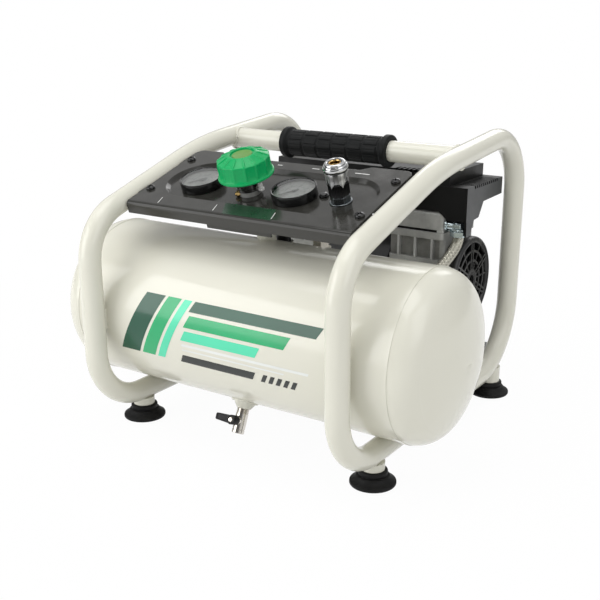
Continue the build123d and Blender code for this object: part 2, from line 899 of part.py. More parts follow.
def switch_cover():
    shell = Box(switch_width, switch_depth, switch_cover_h, align=BASE)
    shell = fillet(shell.edges().filter_by(Axis.Z), switch_wall)
    shell = fillet(shell.faces().sort_by(Axis.Z)[-1].edges(), switch_wall / 2)
    width, depth = switch_width - 2 * switch_wall, switch_depth - 2 * switch_wall
    shell -= Box(width, depth, switch_cover_h - switch_wall, align=BASE)
    shell -= peg(switch_stem_r + running, switch_cover_h)
    return Pos(switch_x, switch_y, switch_z + switch_base_h) * shell


# On/off knob: down is off, pulled up is on
def switch_knob():
    cap = peg(switch_knob_r, switch_knob_h)
    cap = fillet(cap.edges().sort_by(Axis.Z)[-1], switch_wall)
    stem = switch_travel + 2 * switch_wall
    cap += Pos(0, 0, -stem) * peg(switch_stem_r, stem)
    return Pos(switch_x, switch_y, switch_top_z + seat_gap) * cap


# Gland for the supply cord on the left side of the switch
def cable_gland():
    body = hex_bar(2 * gland_r, gland_length / 2) + peg(gland_r - gland_step, gland_length)
    body -= peg(gland_bore_r, gland_length)
    place = (switch_x - switch_width / 2, switch_y, switch_z + switch_base_h / 2)
    return Plane(origin=place, x_dir=(0, 1, 0), z_dir=(-1, 0, 0)) * body


# Safety valve with a bore for its pull stem
def safety_valve():
    body = hex_bar(valve_hex, valve_hex_h) + Pos(0, 0, valve_hex_h) * peg(valve_r, valve_h - valve_hex_h)
    body -= Pos(0, 0, valve_h - pull_stem_depth - pull_travel) * peg(pull_stem_r + running, valve_h)
    return fitting_plane(valve_x) * body


def safety_ring():
    upright = Plane(origin=(0, 0, pull_ring_r), x_dir=(1, 0, 0), z_dir=(0, 1, 0))
    loop = upright * Torus(pull_ring_r, pull_wire_r)
    body = loop + Pos(0, 0, -pull_stem_depth) * peg(pull_stem_r, pull_stem_depth)
    return fitting_plane(valve_x) * (Pos(0, 0, valve_h + pull_wire_r + seat_gap) * body)


def check_valve():
    body = hex_bar(check_hex, check_hex_h) + peg(check_r, check_length)
    body -= peg(check_bore_r, check_length)
    return check_plane * (Pos(0, 0, check_boss_h) * body)


check_end = check_boss_h + check_length
hose_y = pump_y - hose_y_in_front
elbow_z = head_base_z + elbow_r
hose_top_z = elbow_z - elbow_r - collar_h + plate_sheet
hose_low = check_plane.from_local_coords((0, 0, check_end))
hose_turn = check_plane.from_local_coords((0, 0, check_end + hose_lead))


# Hose from the head's elbow down to the check valve
def discharge_hose():
    points = [
        (hose_x, hose_y, hose_top_z),
        (hose_x, hose_y, hose_top_z - hose_fall),
        tuple(hose_turn),
        tuple(hose_low),
    ]
    path = FilletPolyline(*points, radius=[hose_bend_top, hose_bend_low])
    start = Plane(origin=path @ 0, z_dir=path % 0)
    return sweep(start * Circle(hose_r), path) - sweep(start * Circle(hose_bore_r), path)


# Elbow on the right head, its collar over the hose, and the lower hose end
def hose_fittings():
    elbow = along_x(case_out_x, hose_y, elbow_z, peg(elbow_r, hose_out))
    elbow += Pos(hose_x, hose_y, hose_top_z) * peg(elbow_r, elbow_z + elbow_r - hose_top_z)
    elbow += Pos(hose_x, hose_y, hose_top_z) * hex_bar(collar_hex, collar_h)
    elbow -= Pos(hose_x, hose_y, hose_top_z) * peg(hose_bore_r, elbow_z - hose_top_z)
    elbow -= along_x(case_out_x, hose_y, elbow_z, peg(crossover_bore_r, hose_out))
    grip = hex_bar(hose_end_hex, collar_grip / 2) + peg(hose_r + collar_wall, collar_grip)
    grip -= peg(hose_r + slip, collar_grip)
    return group([elbow, check_plane * (Pos(0, 0, check_end + slip) * grip)])


lever_axis_h = drain_boss_h + drain_ball_drop
outlet_length = drain_length - drain_ball_drop - drain_ball_r - drain_seat
lever_plane = Plane(
    origin=drain_plane.from_local_coords((0, 0, lever_axis_h)),
    x_dir=(1, 0, 0),
    z_dir=(0, drain_dir[2], -drain_dir[1]),
)


# Nickel drain cock: hexagon, barrel, stem collar and the cavity for its ball
def drain_valve():
    body = hex_bar(drain_hex, drain_hex_h) + peg(drain_r, drain_length)
    body = drain_plane * (Pos(0, 0, drain_boss_h) * body)
    body += lever_plane * peg(drain_collar_r, drain_collar_reach)
    body -= drain_plane * (Pos(0, 0, drain_boss_h) * peg(drain_port_r, drain_length))
    outlet = drain_boss_h + drain_length - outlet_length
    body -= drain_plane * (Pos(0, 0, outlet) * peg(drain_outlet_r, outlet_length))
    body -= lever_plane * Sphere(drain_ball_r + running)
    return body - lever_plane * peg(drain_stem_r + running, drain_collar_reach)


# Ball bored across the flow while closed, on one stem with the lever's seat
def drain_ball():
    stem_end = drain_collar_reach + lever_hub_length
    ball = Sphere(drain_ball_r)
    bore = Plane(origin=(-2 * drain_ball_r, 0, 0), x_dir=(0, 1, 0), z_dir=(1, 0, 0))
    ball -= bore * peg(drain_port_r, 4 * drain_ball_r)
    stem = Pos(0, 0, drain_port_r + slip) * peg(drain_stem_r, stem_end - drain_port_r - slip)
    stem -= Pos(0, 0, stem_end - lever_screw_depth) * peg(lever_screw_shank + slip, lever_screw_depth)
    return lever_plane * (ball + stem)


def drain_lever():
    tip = -lever_length
    arm = make_face(
        Polyline(
            (0, lever_hub_r - bite),
            (tip, lever_tip_w / 2),
            (tip, -lever_tip_w / 2),
            (0, bite - lever_hub_r),
            close=True,
        )
    )
    body = Pos(0, 0, lever_hub_length - lever_sheet) * extrude(arm, lever_sheet)
    body += peg(lever_hub_r, lever_hub_length)
    body -= peg(drain_stem_r + slip, lever_hub_length)
    return lever_plane * (Pos(0, 0, drain_collar_reach + seat_gap) * body)


def drain_screw():
    shank = lever_screw_depth - bite
    screw = peg(lever_screw_r, lever_screw_h) + Pos(0, 0, -shank) * peg(lever_screw_shank, shank)
    return lever_plane * (Pos(0, 0, drain_collar_reach + seat_gap + lever_hub_length) * screw)


# Head bolt places in X and Y from the middle of one cylinder
def head_bolt_places():
    dx = case_length / 2 - head_bolt_inset_x
    dy = head_width / 2 - head_bolt_inset_y
    return [(x, y) for x in (-dx, dx) for y in (-dy, dy)]


# Crankcase casting: bored housing, deck flange, front ribs and two foot plates
def crankcase():
    height = case_low + deck_h
    body = Pos(0, 0, -case_low) * Box(case_length, case_width - 2 * case_rib_depth, height, align=BASE)
    body = fillet(body.edges().filter_by(Axis.Z), case_corner)
    flange = Pos(0, 0, deck_h - case_flange) * Box(case_length, case_width, case_flange, align=BASE)
    body += fillet(flange.edges().filter_by(Axis.Z), case_corner)
    foot_width = case_width + 2 * case_foot_reach
    foot = Pos(0, 0, -case_low) * Box(case_length, foot_width, case_foot_h, align=BASE)
    body += fillet(foot.edges().filter_by(Axis.Z), case_corner)
    for i in range(case_rib_count):
        x = (i - (case_rib_count - 1) / 2) * case_rib_pitch
        rib = Box(case_rib_sheet, case_width, height - case_foot_h, align=BASE)
        body += Pos(x, 0, case_foot_h - case_low) * rib
    band = Pos(0, 0, case_band_low) * Box(case_length, case_width, case_band_h, align=BASE)
    body += fillet(band.edges().filter_by(Axis.Z), case_corner)
    body = Pos(case_x, pump_y, pump_z) * body
    inner = motor_length / 2 + case_inner_wall
    body -= along_x(inner, pump_y, pump_z, peg(case_bore_r, case_length - case_inner_wall - case_wall))
    body -= along_x(motor_length / 2, pump_y, pump_z, peg(bearing_r, case_inner_wall))
    body -= along_x(motor_length / 2, pump_y, pump_z, peg(shaft_r + slip, case_length))
    body -= Pos(case_x, pump_y, pump_z) * peg(cylinder_r + sleeve_wall, deck_h)
    for x, y in head_bolt_places():
        hole = peg(head_bolt_r + slip, head_bolt_bite)
        body -= Pos(case_x + x, pump_y + y, deck_z - head_bolt_bite) * hole
    for side in (-1, 1):
        hole = peg(mount_bolt_r + slip, case_foot_h)
        body -= Pos(case_x, pump_y + side * mount_y, foot_plate_z) * hole
    return body


def crankcases():
    return group(both_ends(crankcase()))


def motor_shell():
    return along_x(-motor_length / 2, pump_y, pump_z, ring(motor_r, motor_r - motor_wall, motor_length))


# Lamination stack with the winding heads at both ends
def motor_stator():
    outer = motor_r - motor_wall - slip
    body = along_x(-stator_length / 2, pump_y, pump_z, ring(outer, stator_bore_r, stator_length))
    whole = stator_length + 2 * winding_reach
    return body + along_x(-whole / 2, pump_y, pump_z, ring(winding_r, winding_bore_r, whole))


def motor_rotor():
    core = ring(stator_bore_r - rotor_gap, shaft_r, stator_length)
    return along_x(-stator_length / 2, pump_y, pump_z, core)


fan_x = case_out_x + fan_gap
shaft_end_x = fan_x + fan_length + shaft_past_fan


def motor_shaft():
    return along_x(-shaft_end_x, pump_y, pump_z, peg(shaft_r, 2 * shaft_end_x))


# Ball bearings in the crankcases' inner walls, fixed with the castings
def shaft_bearings():
    race = ring(bearing_r, shaft_r + running, case_inner_wall)
    return group(both_ends(along_x(motor_length / 2, pump_y, pump_z, race)))


# Eccentrics half a turn apart, at mid stroke
def eccentrics():
    pieces = []
    for side in (-1, 1):
        disc = Pos(side * throw, 0, 0) * peg(eccentric_r, eccentric_width) - peg(shaft_r, eccentric_width)
        pieces.append(along_x(side * case_x - eccentric_width / 2, pump_y, pump_z, disc))
    return group(pieces)


# Rod and piston in one piece; the rod's eye clears the eccentric over every pose
def piston(side):
    eye_r = eccentric_r + 2 * throw + 4 * slip
    outer = eye_r + rod_ring_wall
    crown_base = deck_h - crown_clear - throw - crown_h
    eye = along_x(-rod_width / 2, 0, 0, peg(outer, rod_width))
    web = Pos(0, 0, outer - rod_ring_wall) * Box(
        rod_width, rod_web, crown_base - outer + rod_ring_wall, align=BASE
    )
    crown = Pos(0, 0, crown_base) * peg(cylinder_r - running, crown_h)
    body = eye + web + crown - along_x(-rod_width / 2, 0, 0, peg(eye_r, rod_width))
    return Pos(side * case_x, pump_y, pump_z) * body


def cylinder_sleeves():
    liner = ring(cylinder_r + sleeve_wall, cylinder_r, cylinder_length)
    return group(both_ends(Pos(case_x, pump_y, deck_z - cylinder_length) * liner))


# Valve plate with its ports and bolt holes
def valve_plates():
    plate = Box(case_length - 2 * plate_inset, head_width - 2 * plate_inset, plate_sheet, align=BASE)
    for y in (-cylinder_r / 2, cylinder_r / 2):
        plate -= Pos(0, y, 0) * peg(port_r, plate_sheet)
    for x, y in head_bolt_places():
        plate -= Pos(x, y, 0) * peg(head_bolt_r + slip, plate_sheet)
    return group(both_ends(Pos(case_x, pump_y, deck_z) * plate))


# Cylinder head with intake and discharge chambers open to the valve plate
def cylinder_heads():
    head = Box(case_length, head_width, head_h, align=BASE)
    head = fillet(head.edges().filter_by(Axis.Z), case_corner)
    head = fillet(head.faces().sort_by(Axis.Z)[-1].edges(), head_edge)
    room = cylinder_r - head_edge
    for y in (-room / 2 - head_web, room / 2 + head_web):
        head -= Pos(0, y, 0) * Box(room, room, head_h - head_edge, align=BASE)
    for x, y in head_bolt_places():
        head -= Pos(x, y, 0) * peg(head_bolt_r + slip, head_h)
    head -= Pos(0, 0, head_h - cover_screw_bite) * peg(cover_screw_r + slip, cover_screw_bite)
    return group(both_ends(Pos(case_x, pump_y, head_base_z) * head))


# Bolts of the heads and of the rubber mounts, and the cover's screws
def pump_bolts():
    bolts = []
    shank = head_h + plate_sheet + head_bolt_bite
    head_bolt = peg(bolt_head_r, bolt_head_h) + Pos(0, 0, -shank) * peg(head_bolt_r, shank)
    reach = foot_plate_z + case_foot_h - tray_z
    mount_bolt = peg(mount_head_r, mount_head_h) + Pos(0, 0, -reach) * peg(mount_bolt_r, reach)
    cover_top = cover_h + cover_upper_h
    cover_screw = peg(cover_screw_head_r, cover_screw_head_h)
    cover_shank = cover_top + cover_screw_bite
    cover_screw += Pos(0, 0, -cover_shank) * peg(cover_screw_r, cover_shank)
    for side in (-1, 1):
        bolts.append(Pos(side * case_x, pump_y, head_top_z + cover_top) * cover_screw)
        for x, y in head_bolt_places():
            bolts.append(Pos(side * case_x + x, pump_y + y, head_top_z) * head_bolt)
        for y in (-mount_y, mount_y):
            bolts.append(Pos(side * case_x, pump_y + y, foot_plate_z + case_foot_h) * mount_bolt)
    return group(bolts)


def crossover_pipe():
    pipe = ring(crossover_r, crossover_bore_r, motor_length)
    return along_x(-motor_length / 2, pump_y + crossover_back, head_base_z + head_h / 2, pipe)


# Cooling fan with pitched blades round a hub on the shaft
def cooling_fan():
    fan = ring(fan_hub_r, shaft_r, fan_length)
    for i in range(fan_blade_count):
        blade = Pos(0, 0, fan_length / 2) * Rot(fan_blade_pitch, 0, 0) * Box(
            fan_r - fan_hub_r + bite,
            fan_blade_sheet,
            fan_length - 2 * fan_blade_room,
            align=(Align.MIN, Align.CENTER, Align.CENTER),
        )
        fan += Rot(0, 0, i * 360 / fan_blade_count) * (Pos(fan_hub_r - bite, 0, 0) * blade)
    return along_x(fan_x, pump_y, pump_z, fan)


def cooling_fans():
    return group(both_ends(cooling_fan()))


# Fan guard: a cup on the crankcase with slotted rings and spokes in its face
def fan_guard():
    cup = ring(guard_r, guard_r - guard_wall, guard_depth)
    face = peg(guard_r, guard_wall)
    for low, high in guard_slots:
        face -= ring(high, low, guard_wall)
    outward = (Align.MIN, Align.CENTER, Align.MIN)
    for i in range(guard_spoke_count):
        spoke = Box(guard_r - guard_hub_r, guard_spoke_w, guard_wall, align=outward)
        face += Rot(0, 0, (i + 0.5) * 360 / guard_spoke_count) * (Pos(guard_hub_r - bite, 0, 0) * spoke)
    face &= peg(guard_r, guard_wall)
    cup += Pos(0, 0, guard_depth - guard_wall) * face
    return along_x(case_out_x, pump_y, pump_z, cup)


def fan_guards():
    return group(both_ends(fan_guard()))


# Intake cover: stepped hollow box open below, with a skirt over each end and louvres
def cover_block(inset):
    low = head_top_z
    front = pump_y - cover_front + inset
    rear = pump_y + cover_rear - inset
    half = cover_half - inset
    floor_y = front + cover_skirt_depth + cover_step_back - 2 * inset
    profile = make_face(
        Polyline(
            (front, low),
            (floor_y, low),
            (floor_y + cover_step_back, low + cover_floor_rise + (inset if inset else 0)),
            (rear, low + cover_floor_rise + (inset if inset else 0)),
            (rear, low + cover_h - inset),
            (front, low + cover_h - inset),
            close=True,
        )
    )
    body = extrude(Plane(origin=(-half, 0, 0), x_dir=(0, 1, 0), z_dir=(1, 0, 0)) * profile, 2 * half)
    upper_rear = pump_y + cover_upper_rear - inset
    upper_width = 2 * (cover_upper_half - inset)
    upper = Box(upper_width, upper_rear - front, cover_upper_h + cover_wall, align=BASE)
    body += Pos(0, (front + upper_rear) / 2, low + cover_h - inset - cover_wall) * upper
    inner = case_out_x + cover_skirt_gap
    for side in (-1, 1):
        mid_x = side * (half + inner) / 2
        mid_y = (front + floor_y) / 2
        skirt = Box(half - inner, floor_y - front, cover_skirt_drop, align=TOP)
        body += Pos(mid_x, mid_y, low) * skirt
    if not inset:
        width = motor_length - 2 * slip
        baffle = Box(width, cover_wall, cover_skirt_drop, align=(Align.CENTER, Align.MIN, Align.MAX))
        body += Pos(0, front, low) * baffle
    return body


def intake_cover():
    shell = cover_block(0) - cover_block(cover_wall)
    top = head_top_z + cover_h
    for x in (-case_x, case_x):
        pillar = peg(pillar_r, cover_h + cover_upper_h)
        shell += Pos(x, pump_y, head_top_z) * pillar
        shell -= Pos(x, pump_y, head_top_z) * peg(cover_screw_r + slip, cover_h + cover_upper_h)
    for side in (-1, 1):
        for i in range(louvre_count):
            y = pump_y - cover_front + 2 * louvre_pitch + i * louvre_pitch
            slot = Box(louvre_length, louvre_w, 4 * cover_wall)
            shell -= Pos(side * (cover_upper_half + cover_half) / 2, y, top) * slot
    return shell


# Pump tray between the loops' lower runs, with ears over the tubes
def pump_tray():
    front, rear = pump_y - tray_front, pump_y + tray_rear
    sheet = Pos(0, (front + rear) / 2, tray_z) * Box(2 * tray_half, rear - front, tray_sheet, align=BASE)
    ears = Box(2 * loop_x, tray_ear_depth, tray_sheet, align=BASE)
    sheet += Pos(0, front + tray_ear_depth / 2, tray_z) * ears
    for y in (front + tray_sheet / 2, rear - tray_sheet / 2):
        lip = Box(2 * (tray_half - mount_r), tray_sheet, tray_flange, align=TOP)
        sheet += Pos(0, y, tray_z) * lip
    for x in (-case_x, case_x):
        for y in (-mount_y, mount_y):
            sheet -= Pos(x, pump_y + y, tray_z) * peg(mount_bolt_r + slip, tray_sheet)
    return max((sheet - both_loops).solids(), key=lambda solid: solid.volume)


def rubber_mounts():
    base = tray_z + tray_sheet
    block = ring(mount_r, mount_bolt_r + slip, foot_plate_z - base)
    places = [(x, y) for x in (-case_x, case_x) for y in (-mount_y, mount_y)]
    return group([Pos(x, pump_y + y, base) * block for x, y in places])


nodes = {
    "tank_barrel": tank_barrel(),
    "tank_ends": tank_ends(),
    "tank_bosses": tank_bosses(),
    "weld_beads": weld_beads(),
    "frame_loop_left": frame_loop(-1),
    "frame_loop_right": frame_loop(1),
    "handle_tube": handle_tube(),
    "handle_grip": handle_grip(),
    "foot_bosses": foot_bosses(),
    "rubber_feet": rubber_feet(),
    "control_panel": control_panel(),
    "panel_tabs": panel_tabs(),
    "panel_screws": panel_screws(),
    "regulator_body": regulator_body(),
    "regulator_bonnet": regulator_bonnet(),
    "regulator_knob": regulator_knob(),
    "gauge_cases": gauge_cases(),
    "gauge_dials": gauge_dials(),
    "gauge_lenses": gauge_lenses(),
    "gauge_needle_left": gauge_needle(gauge_left_x),
    "gauge_needle_right": gauge_needle(gauge_right_x),
    "air_manifold": air_manifold(),
    "riser_pipe": riser_pipe(),
    "coupler_washer": coupler_washer(),
    "coupler_nut": coupler_nut(),
    "coupler_body": coupler_body(),
    "coupler_seat": coupler_seat(),
    "coupler_sleeve": coupler_sleeve(),
    "switch_base": switch_base(),
    "switch_cover": switch_cover(),
    "switch_knob": switch_knob(),
    "cable_gland": cable_gland(),
    "safety_valve": safety_valve(),
    "safety_ring": safety_ring(),
    "check_valve": check_valve(),
    "discharge_hose": discharge_hose(),
    "hose_fittings": hose_fittings(),
    "drain_valve": drain_valve(),
    "drain_ball": drain_ball(),
    "drain_lever": drain_lever(),
    "drain_screw": drain_screw(),
    "crankcases": crankcases(),
    "motor_shell": motor_shell(),
    "motor_stator": motor_stator(),
    "motor_rotor": motor_rotor(),
    "motor_shaft": motor_shaft(),
    "shaft_bearings": shaft_bearings(),
    "eccentrics": eccentrics(),
    "piston_left": piston(-1),
    "piston_right": piston(1),
    "cylinder_sleeves": cylinder_sleeves(),
    "valve_plates": valve_plates(),
    "cylinder_heads": cylinder_heads(),
    "pump_bolts": pump_bolts(),
    "crossover_pipe": crossover_pipe(),
    "cooling_fans": cooling_fans(),
    "fan_guards": fan_guards(),
    "intake_cover": intake_cover(),
    "pump_tray": pump_tray(),
    "rubber_mounts": rubber_mounts(),
}

os.makedirs("parts", exist_ok=True)
for name, shape in nodes.items():
    export_step(shape, f"parts/{name}.step")

# Axes of the moving pieces, for the record
knob_at = panel_plane.from_local_coords((knob_x, row_s, knob_base))
print("panel normal", tuple(panel_plane.z_dir))
print("regulator knob", tuple(knob_at))
for label, x in gauge_places.items():
    print("gauge", label, tuple(panel_plane.from_local_coords((x, gauge_s, recess_floor + dial_top))))
print("coupler", tuple(panel_plane.from_local_coords((coupler_x, coupler_s, coupler_top))))
print("drain lever", tuple(lever_plane.origin), tuple(lever_plane.z_dir), "outlet axis", drain_dir)
outlet_at = drain_plane.from_local_coords((0, 0, drain_boss_h + drain_length))
print("drain outlet", tuple(outlet_at), outlet_length)
print("cord gland", (switch_x - switch_width / 2 - gland_length, switch_y, switch_z + switch_base_h / 2))
print("front foot", (loop_x, front_y + foot_front_inset, 0.0))
print("pump axis", (0, pump_y, pump_z))
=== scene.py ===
import bpy
import bmesh
import json
import math
from mathutils import Matrix, Vector


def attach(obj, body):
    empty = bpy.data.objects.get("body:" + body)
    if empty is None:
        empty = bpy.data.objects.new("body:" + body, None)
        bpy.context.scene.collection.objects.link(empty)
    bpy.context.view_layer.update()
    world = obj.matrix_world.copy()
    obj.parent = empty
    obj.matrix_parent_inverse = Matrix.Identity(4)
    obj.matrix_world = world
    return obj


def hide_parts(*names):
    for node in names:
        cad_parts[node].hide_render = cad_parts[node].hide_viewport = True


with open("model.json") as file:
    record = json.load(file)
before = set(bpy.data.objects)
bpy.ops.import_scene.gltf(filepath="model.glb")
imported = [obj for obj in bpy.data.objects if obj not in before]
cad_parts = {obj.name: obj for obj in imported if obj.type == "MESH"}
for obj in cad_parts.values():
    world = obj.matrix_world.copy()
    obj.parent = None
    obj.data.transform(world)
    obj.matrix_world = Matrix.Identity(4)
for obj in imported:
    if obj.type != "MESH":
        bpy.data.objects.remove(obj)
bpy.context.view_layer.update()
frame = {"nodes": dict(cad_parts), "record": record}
mm = 0.001
print("frame loaded:", len(frame["nodes"]), "nodes")

# camera fitted to the photograph
cameraSet = {
    "place": (0.5883, -0.90155, 0.46267),
    "azimuth": 33.47,
    "elevation": 17.94,
    "lens": 58.03,
    "sensor": 36.0,
    "shift": (-0.0164, 0.0286),
    "farthest": 20.0,
}
cameraData = bpy.data.cameras.new("photoCamera")
cameraData.lens = cameraSet["lens"]
cameraData.sensor_width = cameraSet["sensor"]
cameraData.shift_x, cameraData.shift_y = cameraSet["shift"]
cameraData.clip_end = cameraSet["farthest"]
photoCamera = bpy.data.objects.new("photoCamera", cameraData)
photoCamera.location = cameraSet["place"]
tilt = math.radians(90 - cameraSet["elevation"])
photoCamera.rotation_euler = (tilt, 0, math.radians(cameraSet["azimuth"]))
bpy.context.collection.objects.link(photoCamera)
bpy.context.scene.camera = photoCamera
bpy.context.scene.view_settings.view_transform = "Standard"


# gives a socket a plain value, or links another socket to it
def feed(tree, value, socket):
    if isinstance(value, tuple):
        socket.default_value = value + (1,) if socket.type == "RGBA" else value
    elif isinstance(value, (int, float)):
        socket.default_value = value
    else:
        tree.links.new(value, socket)


# node group with default values for its inputs; gives its inner inputs and outputs too
def newGroup(name, outputs, **inputs):
    group = bpy.data.node_groups.new(name, "ShaderNodeTree")
    for label, value in inputs.items():
        kind = "Float" if isinstance(value, float) else "Color" if len(value) == 4 else "Vector"
        socket = group.interface.new_socket(name=label, in_out="INPUT", socket_type="NodeSocket" + kind)
        socket.default_value = value
    for label in outputs:
        kind = "Color" if label == "Color" else "Float"
        group.interface.new_socket(name=label, in_out="OUTPUT", socket_type="NodeSocket" + kind)
    return group, group.nodes.new("NodeGroupInput").outputs, group.nodes.new("NodeGroupOutput").inputs


def objectPoint(tree):
    return tree.nodes.new("ShaderNodeTexCoord").outputs["Object"]


def surfaceNormal(tree):
    return tree.nodes.new("ShaderNodeNewGeometry").outputs["Normal"]


def parts(tree, vector):
    made = tree.nodes.new("ShaderNodeSeparateXYZ")
    feed(tree, vector, made.inputs[0])
    return made.outputs


def noise(tree, where, scale, detail=3.0, rough=0.5):
    made = tree.nodes.new("ShaderNodeTexNoise")
    for key, value in {"Vector": where, "Scale": scale, "Detail": detail, "Roughness": rough}.items():
        feed(tree, value, made.inputs[key])
    return made.outputs["Fac"]


def calc(tree, how, a, b=0.0):
    made = tree.nodes.new("ShaderNodeMath")
    made.operation = how
    feed(tree, a, made.inputs[0])
    feed(tree, b, made.inputs[1])
    return made.outputs[0]


def spread(tree, value, low, high, toLow=0.0, toHigh=1.0):
    made = tree.nodes.new("ShaderNodeMapRange")
    for socket, item in zip(made.inputs, (value, low, high, toLow, toHigh)):
        feed(tree, item, socket)
    return made.outputs[0]


def blendColor(tree, mask, first, second):
    made = tree.nodes.new("ShaderNodeMix")
    made.data_type = "RGBA"
    for index, value in ((0, mask), (6, first), (7, second)):
        feed(tree, value, made.inputs[index])
    return made.outputs[2]


noiseSpan = (0.3, 0.7)  # where most of a noise's values lie


# value that follows a noise to either side of a middle
def wander(tree, value, middle, reach):
    low = calc(tree, "SUBTRACT", middle, reach)
    return spread(tree, value, *noiseSpan, low, calc(tree, "ADD", middle, reach))


# slow drift of a paint's or plastic's own tone
group, given, result = newGroup("toneDrift", ["Color"], Color=(0.8, 0.8, 0.8, 1), Scale=9.0, Depth=0.06)
tone = group.nodes.new("ShaderNodeHueSaturation")
drift = noise(group, objectPoint(group), given["Scale"], detail=4.0)
feed(group, wander(group, drift, 1.0, given["Depth"]), tone.inputs["Value"])
feed(group, given["Color"], tone.inputs["Color"])
feed(group, tone.outputs["Color"], result["Color"])
toneDrift = group

# fine skin of a finish: height for the bump, and a roughness that wanders in larger patches
group, given, result = newGroup("skinGrain", ["Height", "Roughness"], Scale=900.0, Middle=0.4, Spread=0.1)
where = objectPoint(group)
feed(group, noise(group, where, given["Scale"], detail=2.0), result["Height"])
patch = noise(group, where, calc(group, "MULTIPLY", given["Scale"], 0.04))
reach = calc(group, "MULTIPLY", given["Spread"], 0.5)
feed(group, wander(group, patch, given["Middle"], reach), result["Roughness"])
skinGrain = group

# dust that settles on what faces up
group, given, result = newGroup(
    "dustFall", ["Color", "Mask"], Color=(0.5, 0.5, 0.5, 1), Dust=(0.55, 0.53, 0.5, 1), Amount=0.1
)
up = spread(group, parts(group, surfaceNormal(group))["Z"], 0.55, 1.0)
cloud = spread(group, noise(group, objectPoint(group), 70.0, detail=6.0, rough=0.65), 0.4, 0.75)
mask = calc(group, "MULTIPLY", calc(group, "MULTIPLY", up, cloud), given["Amount"])
feed(group, mask, result["Mask"])
feed(group, blendColor(group, mask, given["Color"], given["Dust"]), result["Color"])
dustFall = group

# coarse skin of a casting: pits, lumps and stains
group, given, result = newGroup(
    "castSkin",
    ["Color", "Height", "Roughness"],
    Light=(0.5, 0.5, 0.5, 1),
    Dark=(0.3, 0.3, 0.3, 1),
    Scale=420.0,
)
where = objectPoint(group)
lumps = noise(group, where, given["Scale"], detail=5.0, rough=0.6)
pits = group.nodes.new("ShaderNodeTexVoronoi")
feed(group, where, pits.inputs["Vector"])
feed(group, calc(group, "MULTIPLY", given["Scale"], 1.9), pits.inputs["Scale"])
pitDepth = calc(group, "MULTIPLY", pits.outputs["Distance"], 0.35)
feed(group, calc(group, "ADD", lumps, pitDepth), result["Height"])
stain = spread(group, noise(group, where, 38.0, detail=6.0, rough=0.65), 0.35, 0.68)
feed(group, blendColor(group, stain, given["Dark"], given["Light"]), result["Color"])
feed(group, spread(group, lumps, *noiseSpan, 0.62, 0.4), result["Roughness"])
castSkin = group

# lathe lines round a turned piece, from the v of its UV map in metres
group, given, result = newGroup("turnedLines", ["Height", "Roughness"], Scale=4000.0, Middle=0.2, Spread=0.12)
line = group.nodes.new("ShaderNodeCombineXYZ")
feed(group, parts(group, group.nodes.new("ShaderNodeUVMap").outputs["UV"])["Y"], line.inputs["X"])
lines = noise(group, line.outputs[0], given["Scale"], rough=0.6)
feed(group, lines, result["Height"])
reach = calc(group, "MULTIPLY", given["Spread"], 0.5)
feed(group, wander(group, lines, given["Middle"], reach), result["Roughness"])
turnedLines = group

# painted sheen: paler colour on the outer faces of a finish that stand square to one direction
group, given, result = newGroup(
    "faceBloom", ["Color"], Color=(0.5, 0.5, 0.5, 1), Bloom=(0.1, 0.1, 0.1, 1), Axis=(1, 0, 0), Reach=0.0
)
along = []
for source in (surfaceNormal(group), objectPoint(group)):
    made = group.nodes.new("ShaderNodeVectorMath")
    made.operation = "DOT_PRODUCT"
    feed(group, source, made.inputs[0])
    feed(group, given["Axis"], made.inputs[1])
    along.append(calc(group, "ABSOLUTE", made.outputs["Value"]))
square = spread(group, along[0], 0.8, 0.95)
outer = calc(group, "GREATER_THAN", along[1], given["Reach"])
mask = calc(group, "MULTIPLY", square, outer)
feed(group, blendColor(group, mask, given["Color"], given["Bloom"]), result["Color"])
faceBloom = group
print("node groups made")

finish = {}
skinSet = {"spread": 0.12, "dustRough": 0.4, "coatRough": 0.06, "bevelSamples": 4}
metalSet = {"toneScale": 40.0, "dust": 0.03, "lathe": 4000.0, "grain": 1500.0}
castSet = {"metallic": 0.45, "dust": 0.12, "strength": 0.5, "depth": 0.00025}


# new material with plain values on its shader; gives its node tree and the shader's inputs
def newFinish(name, plain):
    finish[name] = bpy.data.materials.new(name)
    finish[name].use_nodes = True
    tree = finish[name].node_tree
    inputs = tree.nodes["Principled BSDF"].inputs
    for key, value in plain.items():
        feed(tree, value, inputs[key])
    return tree, inputs


def place(tree, group, **values):
    made = tree.nodes.new("ShaderNodeGroup")
    made.node_tree = group
    for key, value in values.items():
        feed(tree, value, made.inputs[key])
    return made.outputs


# joins colour, roughness and relief to a finish's shader
def dress(tree, inputs, color, rough, height, strength, depth, edge=0.0):
    feed(tree, color, inputs["Base Color"])
    feed(tree, rough, inputs["Roughness"])
    made = tree.nodes.new("ShaderNodeBump")
    for key, value in {"Height": height, "Strength": strength, "Distance": depth}.items():
        feed(tree, value, made.inputs[key])
    if edge:  # softens the light on sharp edges of the solids
        rounded = tree.nodes.new("ShaderNodeBevel")
        rounded.samples = skinSet["bevelSamples"]
        feed(tree, edge, rounded.inputs["Radius"])
        feed(tree, rounded.outputs["Normal"], made.inputs["Normal"])
    feed(tree, made.outputs["Normal"], inputs["Normal"])


